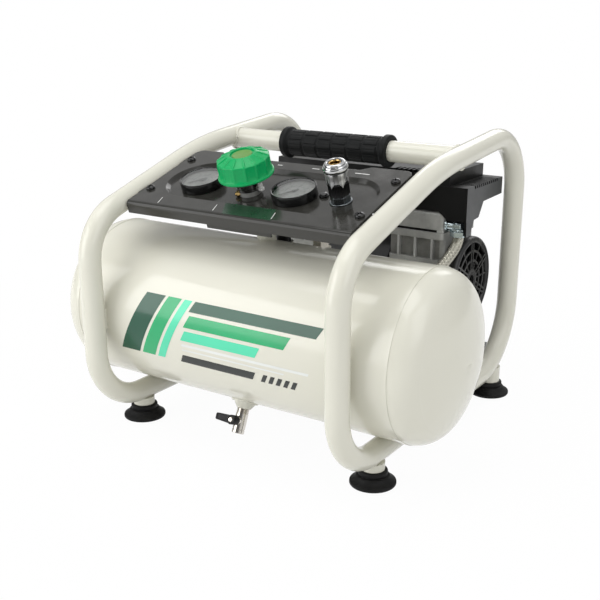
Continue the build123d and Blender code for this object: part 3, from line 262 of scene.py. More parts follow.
# painted sheet, plastic or rubber: drifting tone, a little dust, fine grain
def coated(
    name, color, rough, grain=900.0, depth=0.00002, strength=0.15,
    drift=0.05, dust=0.06, edge=0.0, coat=0.0, spec=0.5,
):
    tree, inputs = newFinish(name, {"Specular IOR Level": spec})
    if coat:
        feed(tree, coat, inputs["Coat Weight"])
        feed(tree, skinSet["coatRough"], inputs["Coat Roughness"])
    tone = place(tree, toneDrift, Color=color, Depth=drift)
    film = place(tree, dustFall, Color=tone["Color"], Amount=dust)
    skin = place(tree, skinGrain, Scale=grain, Middle=rough, Spread=skinSet["spread"])
    dusty = calc(tree, "MULTIPLY", film["Mask"], skinSet["dustRough"])
    rougher = calc(tree, "ADD", skin["Roughness"], dusty)
    dress(tree, inputs, film["Color"], rougher, skin["Height"], strength, depth, edge)


# bare or plated metal: turned lines where the piece has them, else fine grain
def metal(name, color, rough, turned=True, depth=0.00001, strength=0.2, wide=0.12, drift=0.05, edge=0.0):
    tree, inputs = newFinish(name, {"Metallic": 1.0})
    tone = place(tree, toneDrift, Color=color, Depth=drift, Scale=metalSet["toneScale"])
    film = place(tree, dustFall, Color=tone["Color"], Amount=metalSet["dust"])
    kind, scale = (turnedLines, metalSet["lathe"]) if turned else (skinGrain, metalSet["grain"])
    skin = place(tree, kind, Scale=scale, Middle=rough, Spread=wide)
    dress(tree, inputs, film["Color"], skin["Roughness"], skin["Height"], strength, depth, edge)


# rough casting of grey alloy
def casting(name, light, dark, scale=420.0, edge=0.0):
    tree, inputs = newFinish(name, {"Metallic": castSet["metallic"]})
    skin = place(tree, castSkin, Light=light, Dark=dark, Scale=scale)
    film = place(tree, dustFall, Color=skin["Color"], Amount=castSet["dust"])
    relief = (skin["Height"], castSet["strength"], castSet["depth"])
    dress(tree, inputs, film["Color"], skin["Roughness"], *relief, edge)


rubber = {"depth": 0.00005, "strength": 0.3, "dust": 0.015, "spec": 0.2}
clean = {"drift": 0.05, "dust": 0.0}
coated("creamEnamel", (0.69, 0.68, 0.592), 0.15, grain=420.0, strength=0.08, drift=0.006, dust=0.008)
coated(
    "panelEnamel", (0.025, 0.0245, 0.0215), 0.14,
    grain=1300.0, strength=0.16, drift=0.06, dust=0.03, edge=0.0008, spec=0.33,
)
coated("trayEnamel", (0.045, 0.045, 0.045), 0.42, drift=0.1, dust=0.1, edge=0.0008)
coated("motorEnamel", (0.035, 0.036, 0.037), 0.4, grain=800.0, drift=0.1, dust=0.08, edge=0.0006)
coated("footRubber", (0.0055, 0.0055, 0.0058), 0.55, grain=1600.0, drift=0.15, **rubber)
coated("gripRubber", (0.005, 0.0058, 0.006), 0.55, grain=1800.0, drift=0.12, **rubber)
coated("greenPlastic", (0.003, 0.355, 0.102), 0.25, grain=1200.0, strength=0.1, spec=0.25, **clean)
coated("oliveDisc", (0.11, 0.26, 0.042), 0.4, grain=1400.0, drift=0.12, dust=0.02)
coated("redPlastic", (0.42, 0.016, 0.012), 0.3, grain=1200.0, drift=0.06, dust=0.03)
coated(
    "blackPlastic", (0.0085, 0.0085, 0.009), 0.42,
    grain=1500.0, depth=0.00004, strength=0.22, drift=0.1, dust=0.05, edge=0.0008, spec=0.25,
)
coated(
    "coverPlastic", (0.0035, 0.0037, 0.0037), 0.36,
    grain=1700.0, depth=0.00005, strength=0.3, drift=0.12, dust=0.02, spec=0.22,
)
coated(
    "guardPlastic", (0.009, 0.009, 0.0092), 0.34,
    grain=1700.0, depth=0.00004, strength=0.25, drift=0.12, dust=0.02,
)
coated("hoseRubber", (0.06, 0.055, 0.05), 0.6, grain=1600.0, drift=0.1, dust=0.0)
coated("bezelBlack", (0.008, 0.008, 0.008), 0.16, grain=1700.0, **clean)
# dial paper set mid grey: painted shade from the cup round it, over the paper's own tone
coated("dialPaper", (0.168, 0.174, 0.166), 0.5, grain=2200.0, drift=0.02, dust=0.0)
coated("needlePaint", (0.012, 0.012, 0.012), 0.35, grain=2000.0, **clean)
coated("dialInk", (0.015, 0.015, 0.016), 0.5, grain=2200.0, **clean)
# white that stands in for the lock plate's glint (painted highlight)
coated("glintWhite", (0.8, 0.8, 0.78), 0.3, grain=1500.0, drift=0.04, dust=0.0)
coated("labelGreen", (0.01, 0.038, 0.018), 0.3, grain=2200.0, drift=0.08, dust=0.0)
coated("printWhite", (0.62, 0.62, 0.6), 0.4, grain=2200.0, drift=0.06, dust=0.0)
metal("sleeveChrome", (0.53, 0.535, 0.54), 0.08, wide=0.06)
metal("satinChrome", (0.74, 0.745, 0.75), 0.34, turned=False, wide=0.1)
metal("chromePlain", (0.78, 0.78, 0.78), 0.12, turned=False, wide=0.08, edge=0.0004)
metal("blackSteel", (0.03, 0.03, 0.031), 0.34, turned=False, strength=0.3, depth=0.00003, edge=0.0005)
metal("blackNut", (0.2, 0.22, 0.23), 0.3, turned=False, edge=0.0004)
# plated steel with a teal tint that paints in its teal reflections (painted reflection)
metal("tealTintSteel", (0.52, 0.6, 0.62), 0.16, turned=False, wide=0.14, edge=0.0004)
metal("greySteel", (0.3, 0.3, 0.29), 0.2, wide=0.14)
metal("brass", (0.72, 0.5, 0.2), 0.2, wide=0.14)
metal("brassPlain", (0.7, 0.48, 0.19), 0.26, turned=False, wide=0.14, edge=0.0005)
metal("nickel", (0.66, 0.63, 0.58), 0.16, wide=0.1)
metal("nickelPlain", (0.66, 0.63, 0.58), 0.2, turned=False, wide=0.1, edge=0.0004)
metal("machinedSteel", (0.45, 0.45, 0.46), 0.28, turned=False, wide=0.15, edge=0.0004)
metal("copperTube", (0.75, 0.36, 0.22), 0.24, turned=False, wide=0.16)
metal("braidSteel", (0.47, 0.455, 0.39), 0.26, turned=False, wide=0.16, drift=0.12)
casting("castAlloy", (0.48, 0.485, 0.465), (0.31, 0.312, 0.3), edge=0.001)
# lighter cast grey for the rib crests (painted highlight), darker cast grey for the windows between them
# (painted shade)
casting("castCrestHighlight", (0.6, 0.61, 0.59), (0.46, 0.46, 0.45), edge=0.0006)
casting("castShade", (0.3, 0.3, 0.285), (0.2, 0.2, 0.19))
casting("statorSteel", (0.12, 0.11, 0.1), (0.07, 0.06, 0.055), scale=600.0)

# painted sheen: paler end faces of the cover, and paler lips of the panel
paintedSheenSet = {
    "coverPlastic": {"Bloom": (0.075, 0.078, 0.081), "Axis": (1, 0, 0), "Reach": 0.13},
    "panelEnamel": {"Bloom": (0.047, 0.046, 0.041), "Axis": (0, 0.9534, 0.3016), "Reach": 0.0},
}
for name, look in paintedSheenSet.items():
    tree = finish[name].node_tree
    base = tree.nodes["Principled BSDF"].inputs["Base Color"]
    sheenPaint = place(tree, faceBloom, Color=base.links[0].from_socket, **look)
    feed(tree, sheenPaint["Color"], base)

# clear gauge glass with faint smears on it
glassSet = {"color": (0.97, 0.98, 0.97), "strength": 0.03, "depth": 0.00001}
tree, inputs = newFinish("gaugeGlass", {"Transmission Weight": 1.0, "IOR": 1.3})
smear = place(tree, skinGrain, Scale=260.0, Middle=0.04, Spread=0.05)
dress(tree, inputs, rough=smear["Roughness"], height=smear["Height"], **glassSet)

# finish of every solid that is carried over as it is
solidFinish = {
    "cream_paint": "creamEnamel",
    "panel_paint": "panelEnamel",
    "tray_paint": "trayEnamel",
    "motor_paint": "motorEnamel",
    "foot_rubber": "footRubber",
    "grip_rubber": "gripRubber",
    "green_plastic": "greenPlastic",
    "red_plastic": "redPlastic",
    "black_plastic": "blackPlastic",
    "dial_face": "dialPaper",
    "needle_paint": "needlePaint",
    "gauge_glass": "gaugeGlass",
    "chrome": "chromePlain",
    "black_steel": "blackSteel",
    "brass": "brassPlain",
    "nickel": "nickelPlain",
    "cast_aluminium": "castAlloy",
    "steel": "machinedSteel",
    "stator_steel": "statorSteel",
    "copper_tube": "copperTube",
    "braided_steel": "braidSteel",
}
slotOf = {part["node"]: part["material_slot"] for part in frame["record"]["subparts"]}
for nodeName, solid in frame["nodes"].items():
    solid.data.materials.clear()
    solid.data.materials.append(finish[solidFinish[slotOf[nodeName]]])
safetyBody = frame["nodes"]["safety_valve"].data  # plated, like the other fittings round it
safetyBody.materials[0] = finish["nickelPlain"]
print("finishes set on", len(slotOf), "solids")


# placement matrix; shapes are in millimetres until they are placed by one
def seat(origin, xAxis=(1, 0, 0), zAxis=(0, 0, 1)):
    z = Vector(zAxis).normalized()
    x = Vector(xAxis)
    x = (x - z * x.dot(z)).normalized()
    turn = Matrix((x, z.cross(x), z)).transposed().to_4x4()
    return Matrix.Translation(Vector(origin) * mm) @ turn @ Matrix.Scale(mm, 4)


def turnedBy(at, degrees):
    return at @ Matrix.Rotation(math.radians(degrees), 4, "Z")


def polar(r, angle):
    return r * math.cos(angle), r * math.sin(angle)


def smooth(x, low, high):
    t = min(1.0, max(0.0, (x - low) / (high - low)))
    return t * t * (3 - 2 * t)


def turnsOf(count):
    return [2 * math.pi * k / count for k in range(count)]


pinhole = 0.02  # least radius of a turned piece, which stands for a point on its axis


def newShape():
    return {"verts": [], "faces": [], "along": []}


# skin over rings of points; the rings may close on themselves
def addRows(shape, rows, looped=False, capped=False):
    base, count, run = len(shape["verts"]), len(rows[0]), 0.0
    for i, row in enumerate(rows):
        run += (row[0] - rows[i - 1][0]).length if i else 0.0
        shape["verts"] += row
        shape["along"] += [run] * count
    for i in range(len(rows) if looped else len(rows) - 1):
        near = base + i * count
        far = base + (i + 1) % len(rows) * count
        for j in range(count):
            k = (j + 1) % count
            shape["faces"].append((near + j, near + k, far + k, far + j))
    if capped:
        last = base + (len(rows) - 1) * count
        shape["faces"].append(tuple(range(base + count - 1, base - 1, -1)))
        shape["faces"].append(tuple(range(last, last + count)))
    return shape


# turned piece: profile of (radius, height), with an optional change round the axis
def addTurned(shape, profile, at, segments=64, around=None, looped=False):
    rows = []
    for radius, height in profile:
        row = []
        for angle in turnsOf(segments):
            r, h = max(radius, pinhole), height
            if around:
                r, h = around(angle, r, h)
            row.append(at @ Vector((*polar(r, angle), h)))
        rows.append(row)
    return addRows(shape, rows, looped=looped, capped=not looped)


# change round the axis that cuts ribs, for radii over a start and heights inside a span
def ribbed(count, depth, start, low, high):
    def around(angle, radius, height):
        on = radius > start and low < height < high
        return radius - (depth * (0.5 + 0.5 * math.cos(count * angle)) if on else 0.0), height

    return around


# turned piece with a hole through it
def addRing(shape, profile, at, segments=64, around=None):
    return addTurned(shape, profile, at, segments, around, looped=True)


# flat outline pushed from one height to another
def addPrism(shape, outline, low, high, at):
    rows = [[at @ Vector((x, y, h)) for x, y in outline] for h in (low, high)]
    return addRows(shape, rows, capped=True)


def addBlock(shape, low, high, at):
    outline = [(low[0], low[1]), (high[0], low[1]), (high[0], high[1]), (low[0], high[1])]
    return addPrism(shape, outline, low[2], high[2], at)


# round bar along points given in metres
def addBar(shape, points, radius, segments=16, looped=False):
    points = [Vector(p) for p in points]
    turns = turnsOf(segments)
    count, rows, side = len(points), [], None
    for i, p in enumerate(points):
        before = points[i - 1] if i or looped else p
        after = points[(i + 1) % count] if i < count - 1 or looped else p
        run = (after - before).normalized()
        if side is None:
            side = run.orthogonal().normalized()
        side = (side - run * side.dot(run)).normalized()
        other = run.cross(side)
        r = radius(i / max(1, count - 1)) if callable(radius) else radius
        rows.append([p + (side * math.cos(a) + other * math.sin(a)) * r * mm for a in turns])
    return addRows(shape, rows, looped=looped, capped=not looped)


def hexagon(across, corner):
    return [polar(across / math.sqrt(3), math.radians(60 * k + corner)) for k in range(6)]


def meshOf(shape, name):
    mesh = bpy.data.meshes.new(name)
    mesh.from_pydata([tuple(v) for v in shape["verts"]], [], shape["faces"])
    layer = mesh.uv_layers.new(name="turnMap")
    for loop in mesh.loops:
        layer.data[loop.index].uv = (0.0, shape["along"][loop.vertex_index])
    work = bmesh.new()
    work.from_mesh(mesh)
    bmesh.ops.recalc_face_normals(work, faces=work.faces)
    work.to_mesh(mesh)
    work.free()
    return mesh


# takes one shape out of a mesh for good, or joins the two
def cutAway(mesh, cutter, how="DIFFERENCE"):
    body = bpy.data.objects.new("cutBody", mesh)
    tool = bpy.data.objects.new("cutTool", meshOf(cutter, "cutTool"))
    for obj in (body, tool):
        bpy.context.collection.objects.link(obj)
    cut = body.modifiers.new("cut", "BOOLEAN")
    cut.operation = how
    cut.solver = "EXACT"
    cut.use_self = True
    cut.object = tool
    left = bpy.data.meshes.new_from_object(body.evaluated_get(bpy.context.evaluated_depsgraph_get()))
    for obj in (body, tool):
        bpy.data.objects.remove(obj)
    return left


def fuse(mesh, shape):
    return cutAway(mesh, shape, "UNION")


bevelFrom = 38.0  # degrees between two faces from which their edge is rounded


# piece from a shape, or from a mesh that is already cut
def make(shape, name, finishName, slot, replaced=(), body="frame", bevel=0.0, sharp=35.0, steps=2):
    mesh = meshOf(shape, name) if isinstance(shape, dict) else shape
    mesh.name = name
    mesh.materials.clear()
    mesh.materials.append(finish[finishName])
    mesh.shade_smooth()
    mesh.set_sharp_from_angle(angle=math.radians(sharp))
    piece = bpy.data.objects.new(name, mesh)
    bpy.context.collection.objects.link(piece)
    if bevel:
        soft = piece.modifiers.new("softEdge", "BEVEL")
        soft.width = bevel * mm
        soft.segments = steps
        soft.limit_method = "ANGLE"
        soft.angle_limit = math.radians(bevelFrom)
        soft.harden_normals = True
    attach(piece, body)
    if replaced:
        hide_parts(*replaced)


# places, as in the part's source
panelPlace = {
    "origin": (0.0, -157.257, 261.8333),
    "up": (0.0, -0.30160615, 0.9534326),
    "slope": (0.0, 0.9534326, 0.30160615),
    "recess": -4.0,
}
tankPlace = {"y": -96.5, "z": 135.4, "r": 89.0}
pumpPlace = {"y": 139.5, "z": 146.7}
atOrigin = seat((0, 0, 0))


# seat on the panel: x along it, s up its slope, h off its face
def onPanel(x, s, h):
    origin = Vector(panelPlace["origin"]) + Vector((x, 0, 0))
    origin = origin + Vector(panelPlace["slope"]) * s
    origin = origin + Vector(panelPlace["up"]) * h
    return seat(origin, (1, 0, 0), panelPlace["up"])


# point on the tank's skin: x along it, angle up from the front, height off the skin
def onTank(x, angle, lift):
    a, r = math.radians(angle), tankPlace["r"] + lift
    return Vector((x, tankPlace["y"] - r * math.cos(a), tankPlace["z"] + r * math.sin(a))) * mm


# seat on the pump's axis, facing out at one side
def onPump(side, x):
    return seat((side * x, pumpPlace["y"], pumpPlace["z"]), (0, 1, 0), (side, 0, 0))


# regulator's cap: flats with ribs at their corners, and a sloping crown
knobSet = {
    "x": -15.6, "s": 58.0, "base": 16.5, "facets": 14, "inside": 14.6,
    # rib's share of a flat, where it is full, its height, the sink beside it, and its depth on the wall
    "ribShare": 0.24, "ribFull": 0.72, "ribLift": 0.95, "ribSink": 0.35, "wallRib": 0.4,
    "liftOut": 0.4, "liftUp": 0.9,
    # heights over which each zone comes in or goes out
    "flatsIn": (2.55, 4.0), "wallIn": (4.0, 5.5), "wallOut": (17.4, 18.8),
    "crownIn": (18.6, 20.2), "crownOut": (23.5, 24.2),
}
knobProfile = [
    (0, -2.2), (7.9, -2.2), (8.5, -1.6), (8.5, 18.5), (18.0, 18.5), (18.0, 0.4), (18.4, 0.0), (28.9, 0.0),
    (29.45, 0.25), (29.6, 0.8), (29.6, 1.7), (29.4, 2.2), (28.9, 2.45), (28.45, 2.6), (28.25, 3.1),
    (28.2, 4.2), (28.2, 6.8), (28.2, 17.3), (28.1, 18.2), (27.6, 18.9), (26.9, 19.4), (25.9, 19.85),
    (22.4, 21.3), (19.0, 22.7), (16.2, 23.85), (15.4, 24.2), (14.6, 24.45), (13.8, 24.5), (13.2, 24.35),
    (12.8, 23.95), (12.6, 23.3), (12.55, 22.6), (0, 22.6),
]
discProfile = [
    (0, 22.55), (10.3, 22.55), (10.7, 22.75), (10.7, 23.05), (10.2, 23.3), (8.8, 23.3), (8.4, 23.1),
    (0, 23.2),
]


def knobSides(angle, radius, height):
    if height < knobSet["flatsIn"][0] or radius < knobSet["inside"]:
        return radius, height
    period = 2 * math.pi / knobSet["facets"]
    off = abs((angle / period) % 1.0 - 0.5) * 2  # 0 in the middle of a flat, 1 at its corner
    flat = math.cos(period / 2) / math.cos(off * period / 2)
    crown = smooth(height, *knobSet["crownIn"])
    radius *= 1 - smooth(height, *knobSet["flatsIn"]) * (1 - crown) * (1 - flat)
    rib = smooth(off, 1 - knobSet["ribShare"], 1 - knobSet["ribShare"] * knobSet["ribFull"])
    slope = crown * (1 - smooth(height, *knobSet["crownOut"]))
    wall = smooth(height, *knobSet["wallIn"]) * (1 - smooth(height, *knobSet["wallOut"]))
    lift = slope * (knobSet["ribLift"] * rib - knobSet["ribSink"])
    sink = knobSet["wallRib"] * wall * (1 - rib)
    return radius + knobSet["liftOut"] * lift - sink, height + knobSet["liftUp"] * lift


knobSeat = onPanel(knobSet["x"], knobSet["s"], knobSet["base"])
cap = addTurned(newShape(), knobProfile, knobSeat, segments=224, around=knobSides)
onKnob = {"body": "regulator_knob"}
make(cap, "regulatorCap", "greenPlastic", "green_plastic", ["regulator_knob"], sharp=28, **onKnob)
disc = addTurned(newShape(), discProfile, knobSeat, segments=72)
make(disc, "capDisc", "oliveDisc", "green_plastic", sharp=40, **onKnob)

# bonnet above the regulator's cast neck
bonnetProfile = [
    (5.05, 5.05), (12.6, 5.05), (13.2, 5.4), (13.4, 6.0), (13.4, 8.2), (12.8, 8.5), (12.8, 9.4),
    (13.4, 9.7), (13.4, 17.1), (12.7, 17.9), (5.05, 18.0),
]
bonnetAt = onPanel(knobSet["x"], knobSet["s"], panelPlace["recess"])
bonnet = addRing(newShape(), bonnetProfile, bonnetAt, segments=72)
make(bonnet, "regulatorBonnet", "greySteel", "chrome", ["regulator_bonnet"])

# brass bleed plug in the neck's side
plugSet = {
    "turn": 234.5, "start": 11.6, "length": 4.8, "level": 2.9,
    "across": 5.2, "corner": 12, "nose": 1.2, "r": 1.7,
}
plugTurn = math.radians(plugSet["turn"])
plugRun = Vector((math.cos(plugTurn), 0, 0)) + Vector(panelPlace["slope"]) * math.sin(plugTurn)
plugFoot = bonnetAt @ Vector((*polar(plugSet["start"], plugTurn), plugSet["level"]))
plugAt = seat(plugFoot / mm, panelPlace["up"], plugRun)
plugHex = hexagon(plugSet["across"], plugSet["corner"])
plug = addPrism(newShape(), plugHex, 0.0, plugSet["length"] - plugSet["nose"], plugAt)
long, r = plugSet["length"], plugSet["r"]
addTurned(plug, [(0, 0.0), (r, 0.0), (r, long), (0, long)], plugAt, segments=28)
make(plug, "bleedPlug", "brassPlain", "brass", bevel=0.35)

# lock plate on the bonnet's other side: foot and upright, painted white for its glint (painted highlight)
plateSet = {
    "off": 16.0, "levels": (4.6, 7.6, 12.6),
    "foot": [(-2.8, -2.4), (2.8, -2.4), (3.2, 0.8), (1.6, 2.6), (-2.8, 2.6)],
    "upright": [(-3.4, -1.0), (0.6, -1.0), (0.6, 2.6), (-3.4, 2.6)],
}
plateAt = onPanel(knobSet["x"] + plateSet["off"], knobSet["s"], panelPlace["recess"])
plate = addPrism(newShape(), plateSet["foot"], *plateSet["levels"][:2], plateAt)
addPrism(plate, plateSet["upright"], *plateSet["levels"][1:], plateAt)
make(plate, "lockPlate", "glintWhite", "chrome", bevel=0.4)

# gauges, with generic scales
gaugeSet = {
    "s": 60.5,
    "level": -1.5,
    "places": {"Left": -80.5, "Right": 39.5},
    "sweep": (225.0, -270.0),  # angle of zero, and the turn to full scale
    "ink": (3.0, 3.05),  # heights between which the printing lies
    # numbers, their size and radius
    "outerScale": (["0", "2", "4", "6", "8", "10", "12"], 4.6, 13.9),
    "innerScale": (["0", "40", "80", "120", "160"], 2.6, 7.4),
    "parts": 10,
    # inner radius and width of the whole, half and fine marks
    "marks": [(16.9, 0.7), (18.1, 0.45), (19.0, 0.28)],
    "marksEnd": 20.6,
    "innerMark": (9.6, 10.8, 0.4),
    "arcs": [(20.6, 21.0), (10.8, 11.1)],
    "arcSteps": 90,
    "hand": [
        (-5.0, -1.0), (-2.0, -1.3), (2.0, -0.9), (15.6, -0.28), (16.0, 0.0), (15.6, 0.28), (2.0, 0.9),
        (-2.0, 1.3), (-5.0, 1.0),
    ],
    "handLevels": (3.95, 4.4),
}
cupProfile = [
    (0, -2.5), (23.0, -2.5), (23.8, -2.0), (24.0, -1.1), (24.0, 6.6), (23.85, 7.2), (23.5, 7.4),
    (23.0, 7.4), (22.9, 7.9), (22.65, 7.8), (22.5, 7.0), (22.5, 2.2), (0, 2.2),
]
bezelProfile = [
    (22.95, 7.4), (23.6, 7.4), (23.75, 7.7), (23.6, 8.1), (23.3, 8.25), (23.05, 8.1), (22.95, 7.8),
]
lensProfile = [
    (0, 6.9), (22.45, 6.9), (22.45, 7.4), (19.0, 7.65), (12.6, 7.9), (6.0, 8.02), (0, 8.06),
]
dialProfile = [(0, 2.25), (22.4, 2.25), (22.4, 2.9), (22.1, 3.0), (0, 3.0)]
pivotProfile = [
    (0, 3.3), (0.8, 3.3), (0.8, 3.9), (2.3, 3.9), (2.4, 4.1), (2.4, 4.5), (2.0, 4.7), (0, 4.8),
]
cups, bezels, dials, inks, lenses = (newShape() for k in range(5))


def dialText(shape, text, size, x, y, at):
    words = bpy.data.curves.new("dialText", "FONT")
    words.body, words.size = text, size
    words.align_x = words.align_y = "CENTER"
    words.resolution_u = 3
    lettering = bpy.data.objects.new("dialText", words)
    flat = bpy.data.meshes.new_from_object(lettering)
    base = len(shape["verts"])
    for v in flat.vertices:
        shape["verts"].append(at @ Vector((x + v.co.x, y + v.co.y, gaugeSet["ink"][1])))
        shape["along"].append(0.0)
    shape["faces"] += [tuple(base + i for i in p.vertices) for p in flat.polygons]
    bpy.data.objects.remove(lettering)
    bpy.data.meshes.remove(flat)


def dialMark(shape, angle, inner, outer, wide, at):
    a = math.radians(angle)
    run = Vector((math.cos(a), math.sin(a)))
    half = Vector((-math.sin(a), math.cos(a))) * wide / 2
    outline = [run * inner - half, run * outer - half, run * outer + half, run * inner + half]
    addPrism(shape, outline, *gaugeSet["ink"], at)


# angle of one step of a scale, in degrees
def dialAngle(step, steps):
    zero, turn = gaugeSet["sweep"]
    return zero + turn * step / steps


def dialPrint(at):
    numbers, size, radius = gaugeSet["outerScale"]
    count = len(numbers) - 1
    fine = count * gaugeSet["parts"]
    for k in range(fine + 1):
        rank = 0 if k % gaugeSet["parts"] == 0 else 1 if k % (gaugeSet["parts"] // 2) == 0 else 2
        inner, wide = gaugeSet["marks"][rank]
        dialMark(inks, dialAngle(k, fine), inner, gaugeSet["marksEnd"], wide, at)
    for k, text in enumerate(numbers):
        dialText(inks, text, size, *polar(radius, math.radians(dialAngle(k, count))), at)
    numbers, size, radius = gaugeSet["innerScale"]
    for k, text in enumerate(numbers):
        angle = math.radians(dialAngle(k, len(numbers) - 1))
        dialMark(inks, math.degrees(angle), *gaugeSet["innerMark"], at)
        dialText(inks, text, size, *polar(radius, angle), at)
    for k in range(gaugeSet["arcSteps"]):  # thin scale arcs
        a, b = (math.radians(dialAngle(i, gaugeSet["arcSteps"])) for i in (k, k + 1))
        for low, high in gaugeSet["arcs"]:
            outline = [polar(low, a), polar(high, a), polar(high, b), polar(low, b)]
            addPrism(inks, outline, *gaugeSet["ink"], at)


for side, x in gaugeSet["places"].items():
    at = onPanel(x, gaugeSet["s"], gaugeSet["level"])
    addTurned(cups, cupProfile, at, segments=96)
    addRing(bezels, bezelProfile, at, segments=96)
    addTurned(lenses, lensProfile, at, segments=72)
    addTurned(dials, dialProfile, at, segments=72)
    dialPrint(at)
    zero = math.radians(gaugeSet["sweep"][0])
    c, s = math.cos(zero), math.sin(zero)
    hand = [(p * c - q * s, p * s + q * c) for p, q in gaugeSet["hand"]]
    needle = addPrism(newShape(), hand, *gaugeSet["handLevels"], at)
    addTurned(needle, pivotProfile, at, segments=32)
    rider = "needle_" + side.lower()
    make(needle, "gaugeHand" + side, "needlePaint", "needle_paint", ["gauge_" + rider], body=rider, sharp=40)
make(cups, "gaugeCups", "bezelBlack", "black_plastic", ["gauge_cases"])
make(bezels, "gaugeBezels", "bezelBlack", "black_plastic")
make(dials, "gaugeDials", "dialPaper", "dial_face", ["gauge_dials"])
make(inks, "gaugeMarks", "dialInk", "dial_face")
make(lenses, "gaugeGlass", "gaugeGlass", "gauge_glass", ["gauge_lenses"])
print("regulator and gauges made")

# quick coupler: washer, nut, knurled collar, brass socket, and a sliding sleeve with pointed prongs
couplerSet = {
    "x": 93.0, "s": 62.5, "level": -2.5,
    "nut": (18.4, 20), "nutLevels": (0.1, 6.6),
    "collar": 10.6, "collarTop": 20.6, "knurl": (40, 0.45, 10.5, 8.0, 19.4),  # as for ribbed
    "bore": 8.25, "neck": 9.8,
    "prongs": 6, "prongTurn": -33.0, "prongWide": 17.0, "prongTop": 32.0, "prongTip": 17.4, "prongSteps": 14,
    # narrowing down the prong, its point, and the height where the point starts
    "taper": 0.15, "point": 0.94, "pointFrom": 21.6,
    # outer radius at the top, its loss on the way down, and the heights of that
    "prongOut": 11.9, "prongLean": 0.65, "leanSpan": (32.0, 24.0),
    # inner radius clear of the collar, below the height given
    "clear": 10.78, "clearBelow": 25.2,
    "crease": 0.7, "across": (-1.0, -0.6, -0.2, 0.2, 0.6, 1.0), "sunk": 0.3,
}
couplerAt = onPanel(couplerSet["x"], couplerSet["s"], couplerSet["level"])
washerProfile = [(5.6, -1.5), (11.0, -1.5), (11.6, -1.1), (11.6, -0.3), (11.1, 0.1), (5.6, 0.1)]
washer = addRing(newShape(), washerProfile, couplerAt, segments=72)
make(washer, "couplerWasher", "blackNut", "chrome", ["coupler_washer"])
nut = addPrism(newShape(), hexagon(*couplerSet["nut"]), *couplerSet["nutLevels"], couplerAt)
make(nut, "couplerNut", "blackNut", "black_steel", ["coupler_nut"], bevel=0.8, steps=3)


# collar, hollow above its floor, and the barrel that the sleeve slides on
collar, top, bore, neck = (couplerSet[key] for key in ("collar", "collarTop", "bore", "neck"))
barrelProfile = [
    (5.6, 6.6), (9.4, 6.6), (10.0, 6.9), (collar, 7.6), (collar, 8.2), (collar, 19.2), (collar, 19.5),
    (10.3, top), (9.95, top), (9.95, 15.6), (8.2, 15.6), (8.2, 41.1), (6.4, 41.1), (6.4, 30.0),
    (5.6, 30.0),
]
barrel = addRing(newShape(), barrelProfile, couplerAt, segments=160, around=ribbed(*couplerSet["knurl"]))
make(barrel, "couplerBarrel", "blackSteel", "chrome", ["coupler_body"])

# brass lining of the socket
socketProfile = [
    (5.2, 23.1), (6.4, 23.1), (6.4, 40.7), (6.0, 41.1), (5.7, 41.1), (5.2, 40.5), (5.2, 38.4),
    (5.6, 38.0), (5.6, 37.2), (5.2, 36.8),
]
socketLining = addRing(newShape(), socketProfile, couplerAt, segments=64)
make(socketLining, "couplerSeat", "brass", "brass", ["coupler_seat"])

# sleeve's crown, cut by two ring grooves
crownProfile = [
    (bore, 31.0), (10.2, 31.0), (11.6, 32.4), (12.4, 33.6), (12.8, 34.8), (12.8, 36.6), (12.5, 37.2),
    (11.4, 37.35), (11.4, 38.15), (12.0, 38.4), (11.7, 39.1), (11.2, 39.5), (10.1, 39.65), (10.1, 40.35),
    (10.6, 40.6), (10.3, 41.2), (9.6, 41.75), (8.6, 41.9), (8.0, 41.9), (7.5, 41.5), (7.2, 41.2),
    (7.2, 40.9), (bore, 40.4),
]
sleeve = addRing(newShape(), crownProfile, couplerAt, segments=160)
make(sleeve, "couplerSleeve", "sleeveChrome", "chrome", ["coupler_sleeve"], body="coupler_sleeve", sharp=30)


# cross-section of a prong at a share of its length, as points of (radius, angle), and its height
def prongSection(t):
    tip = couplerSet["prongTip"]
    fullWide = math.radians(couplerSet["prongWide"])
    high = couplerSet["prongTop"] + (tip - couplerSet["prongTop"]) * t
    pointed = couplerSet["point"] * smooth(high, couplerSet["pointFrom"], tip)
    wide = fullWide * (1 - couplerSet["taper"] * t) * (1 - pointed)
    outer = couplerSet["prongOut"] - couplerSet["prongLean"] * smooth(high, *couplerSet["leanSpan"])
    inner = couplerSet["clear"] if high < couplerSet["clearBelow"] else neck - couplerSet["sunk"]
    crease = couplerSet["crease"]
    outside = [(outer - crease * (a * a) * (wide / 0.297), a * wide) for a in couplerSet["across"]]
    return outside + [(inner, a * wide) for a in (1.0, 0.0, -1.0)], high


# satin neck below the crown, with the prongs on it
neckProfile = [(bore, 21.4), (neck, 21.4), (neck, 30.2), (10.2, 30.98), (bore, 30.98)]
prongs = addRing(newShape(), neckProfile, couplerAt, segments=160)
for k in range(couplerSet["prongs"]):
    middle = math.radians(couplerSet["prongTurn"] + 360 * k / couplerSet["prongs"])
    rows = []
    for i in range(couplerSet["prongSteps"] + 1):
        section, high = prongSection(i / couplerSet["prongSteps"])
        rows.append([couplerAt @ Vector((*polar(r, middle + a), high)) for r, a in section])
    addRows(prongs, rows, capped=True)
make(prongs, "sleeveProngs", "satinChrome", "chrome", body="coupler_sleeve", sharp=30)
print("coupler made")

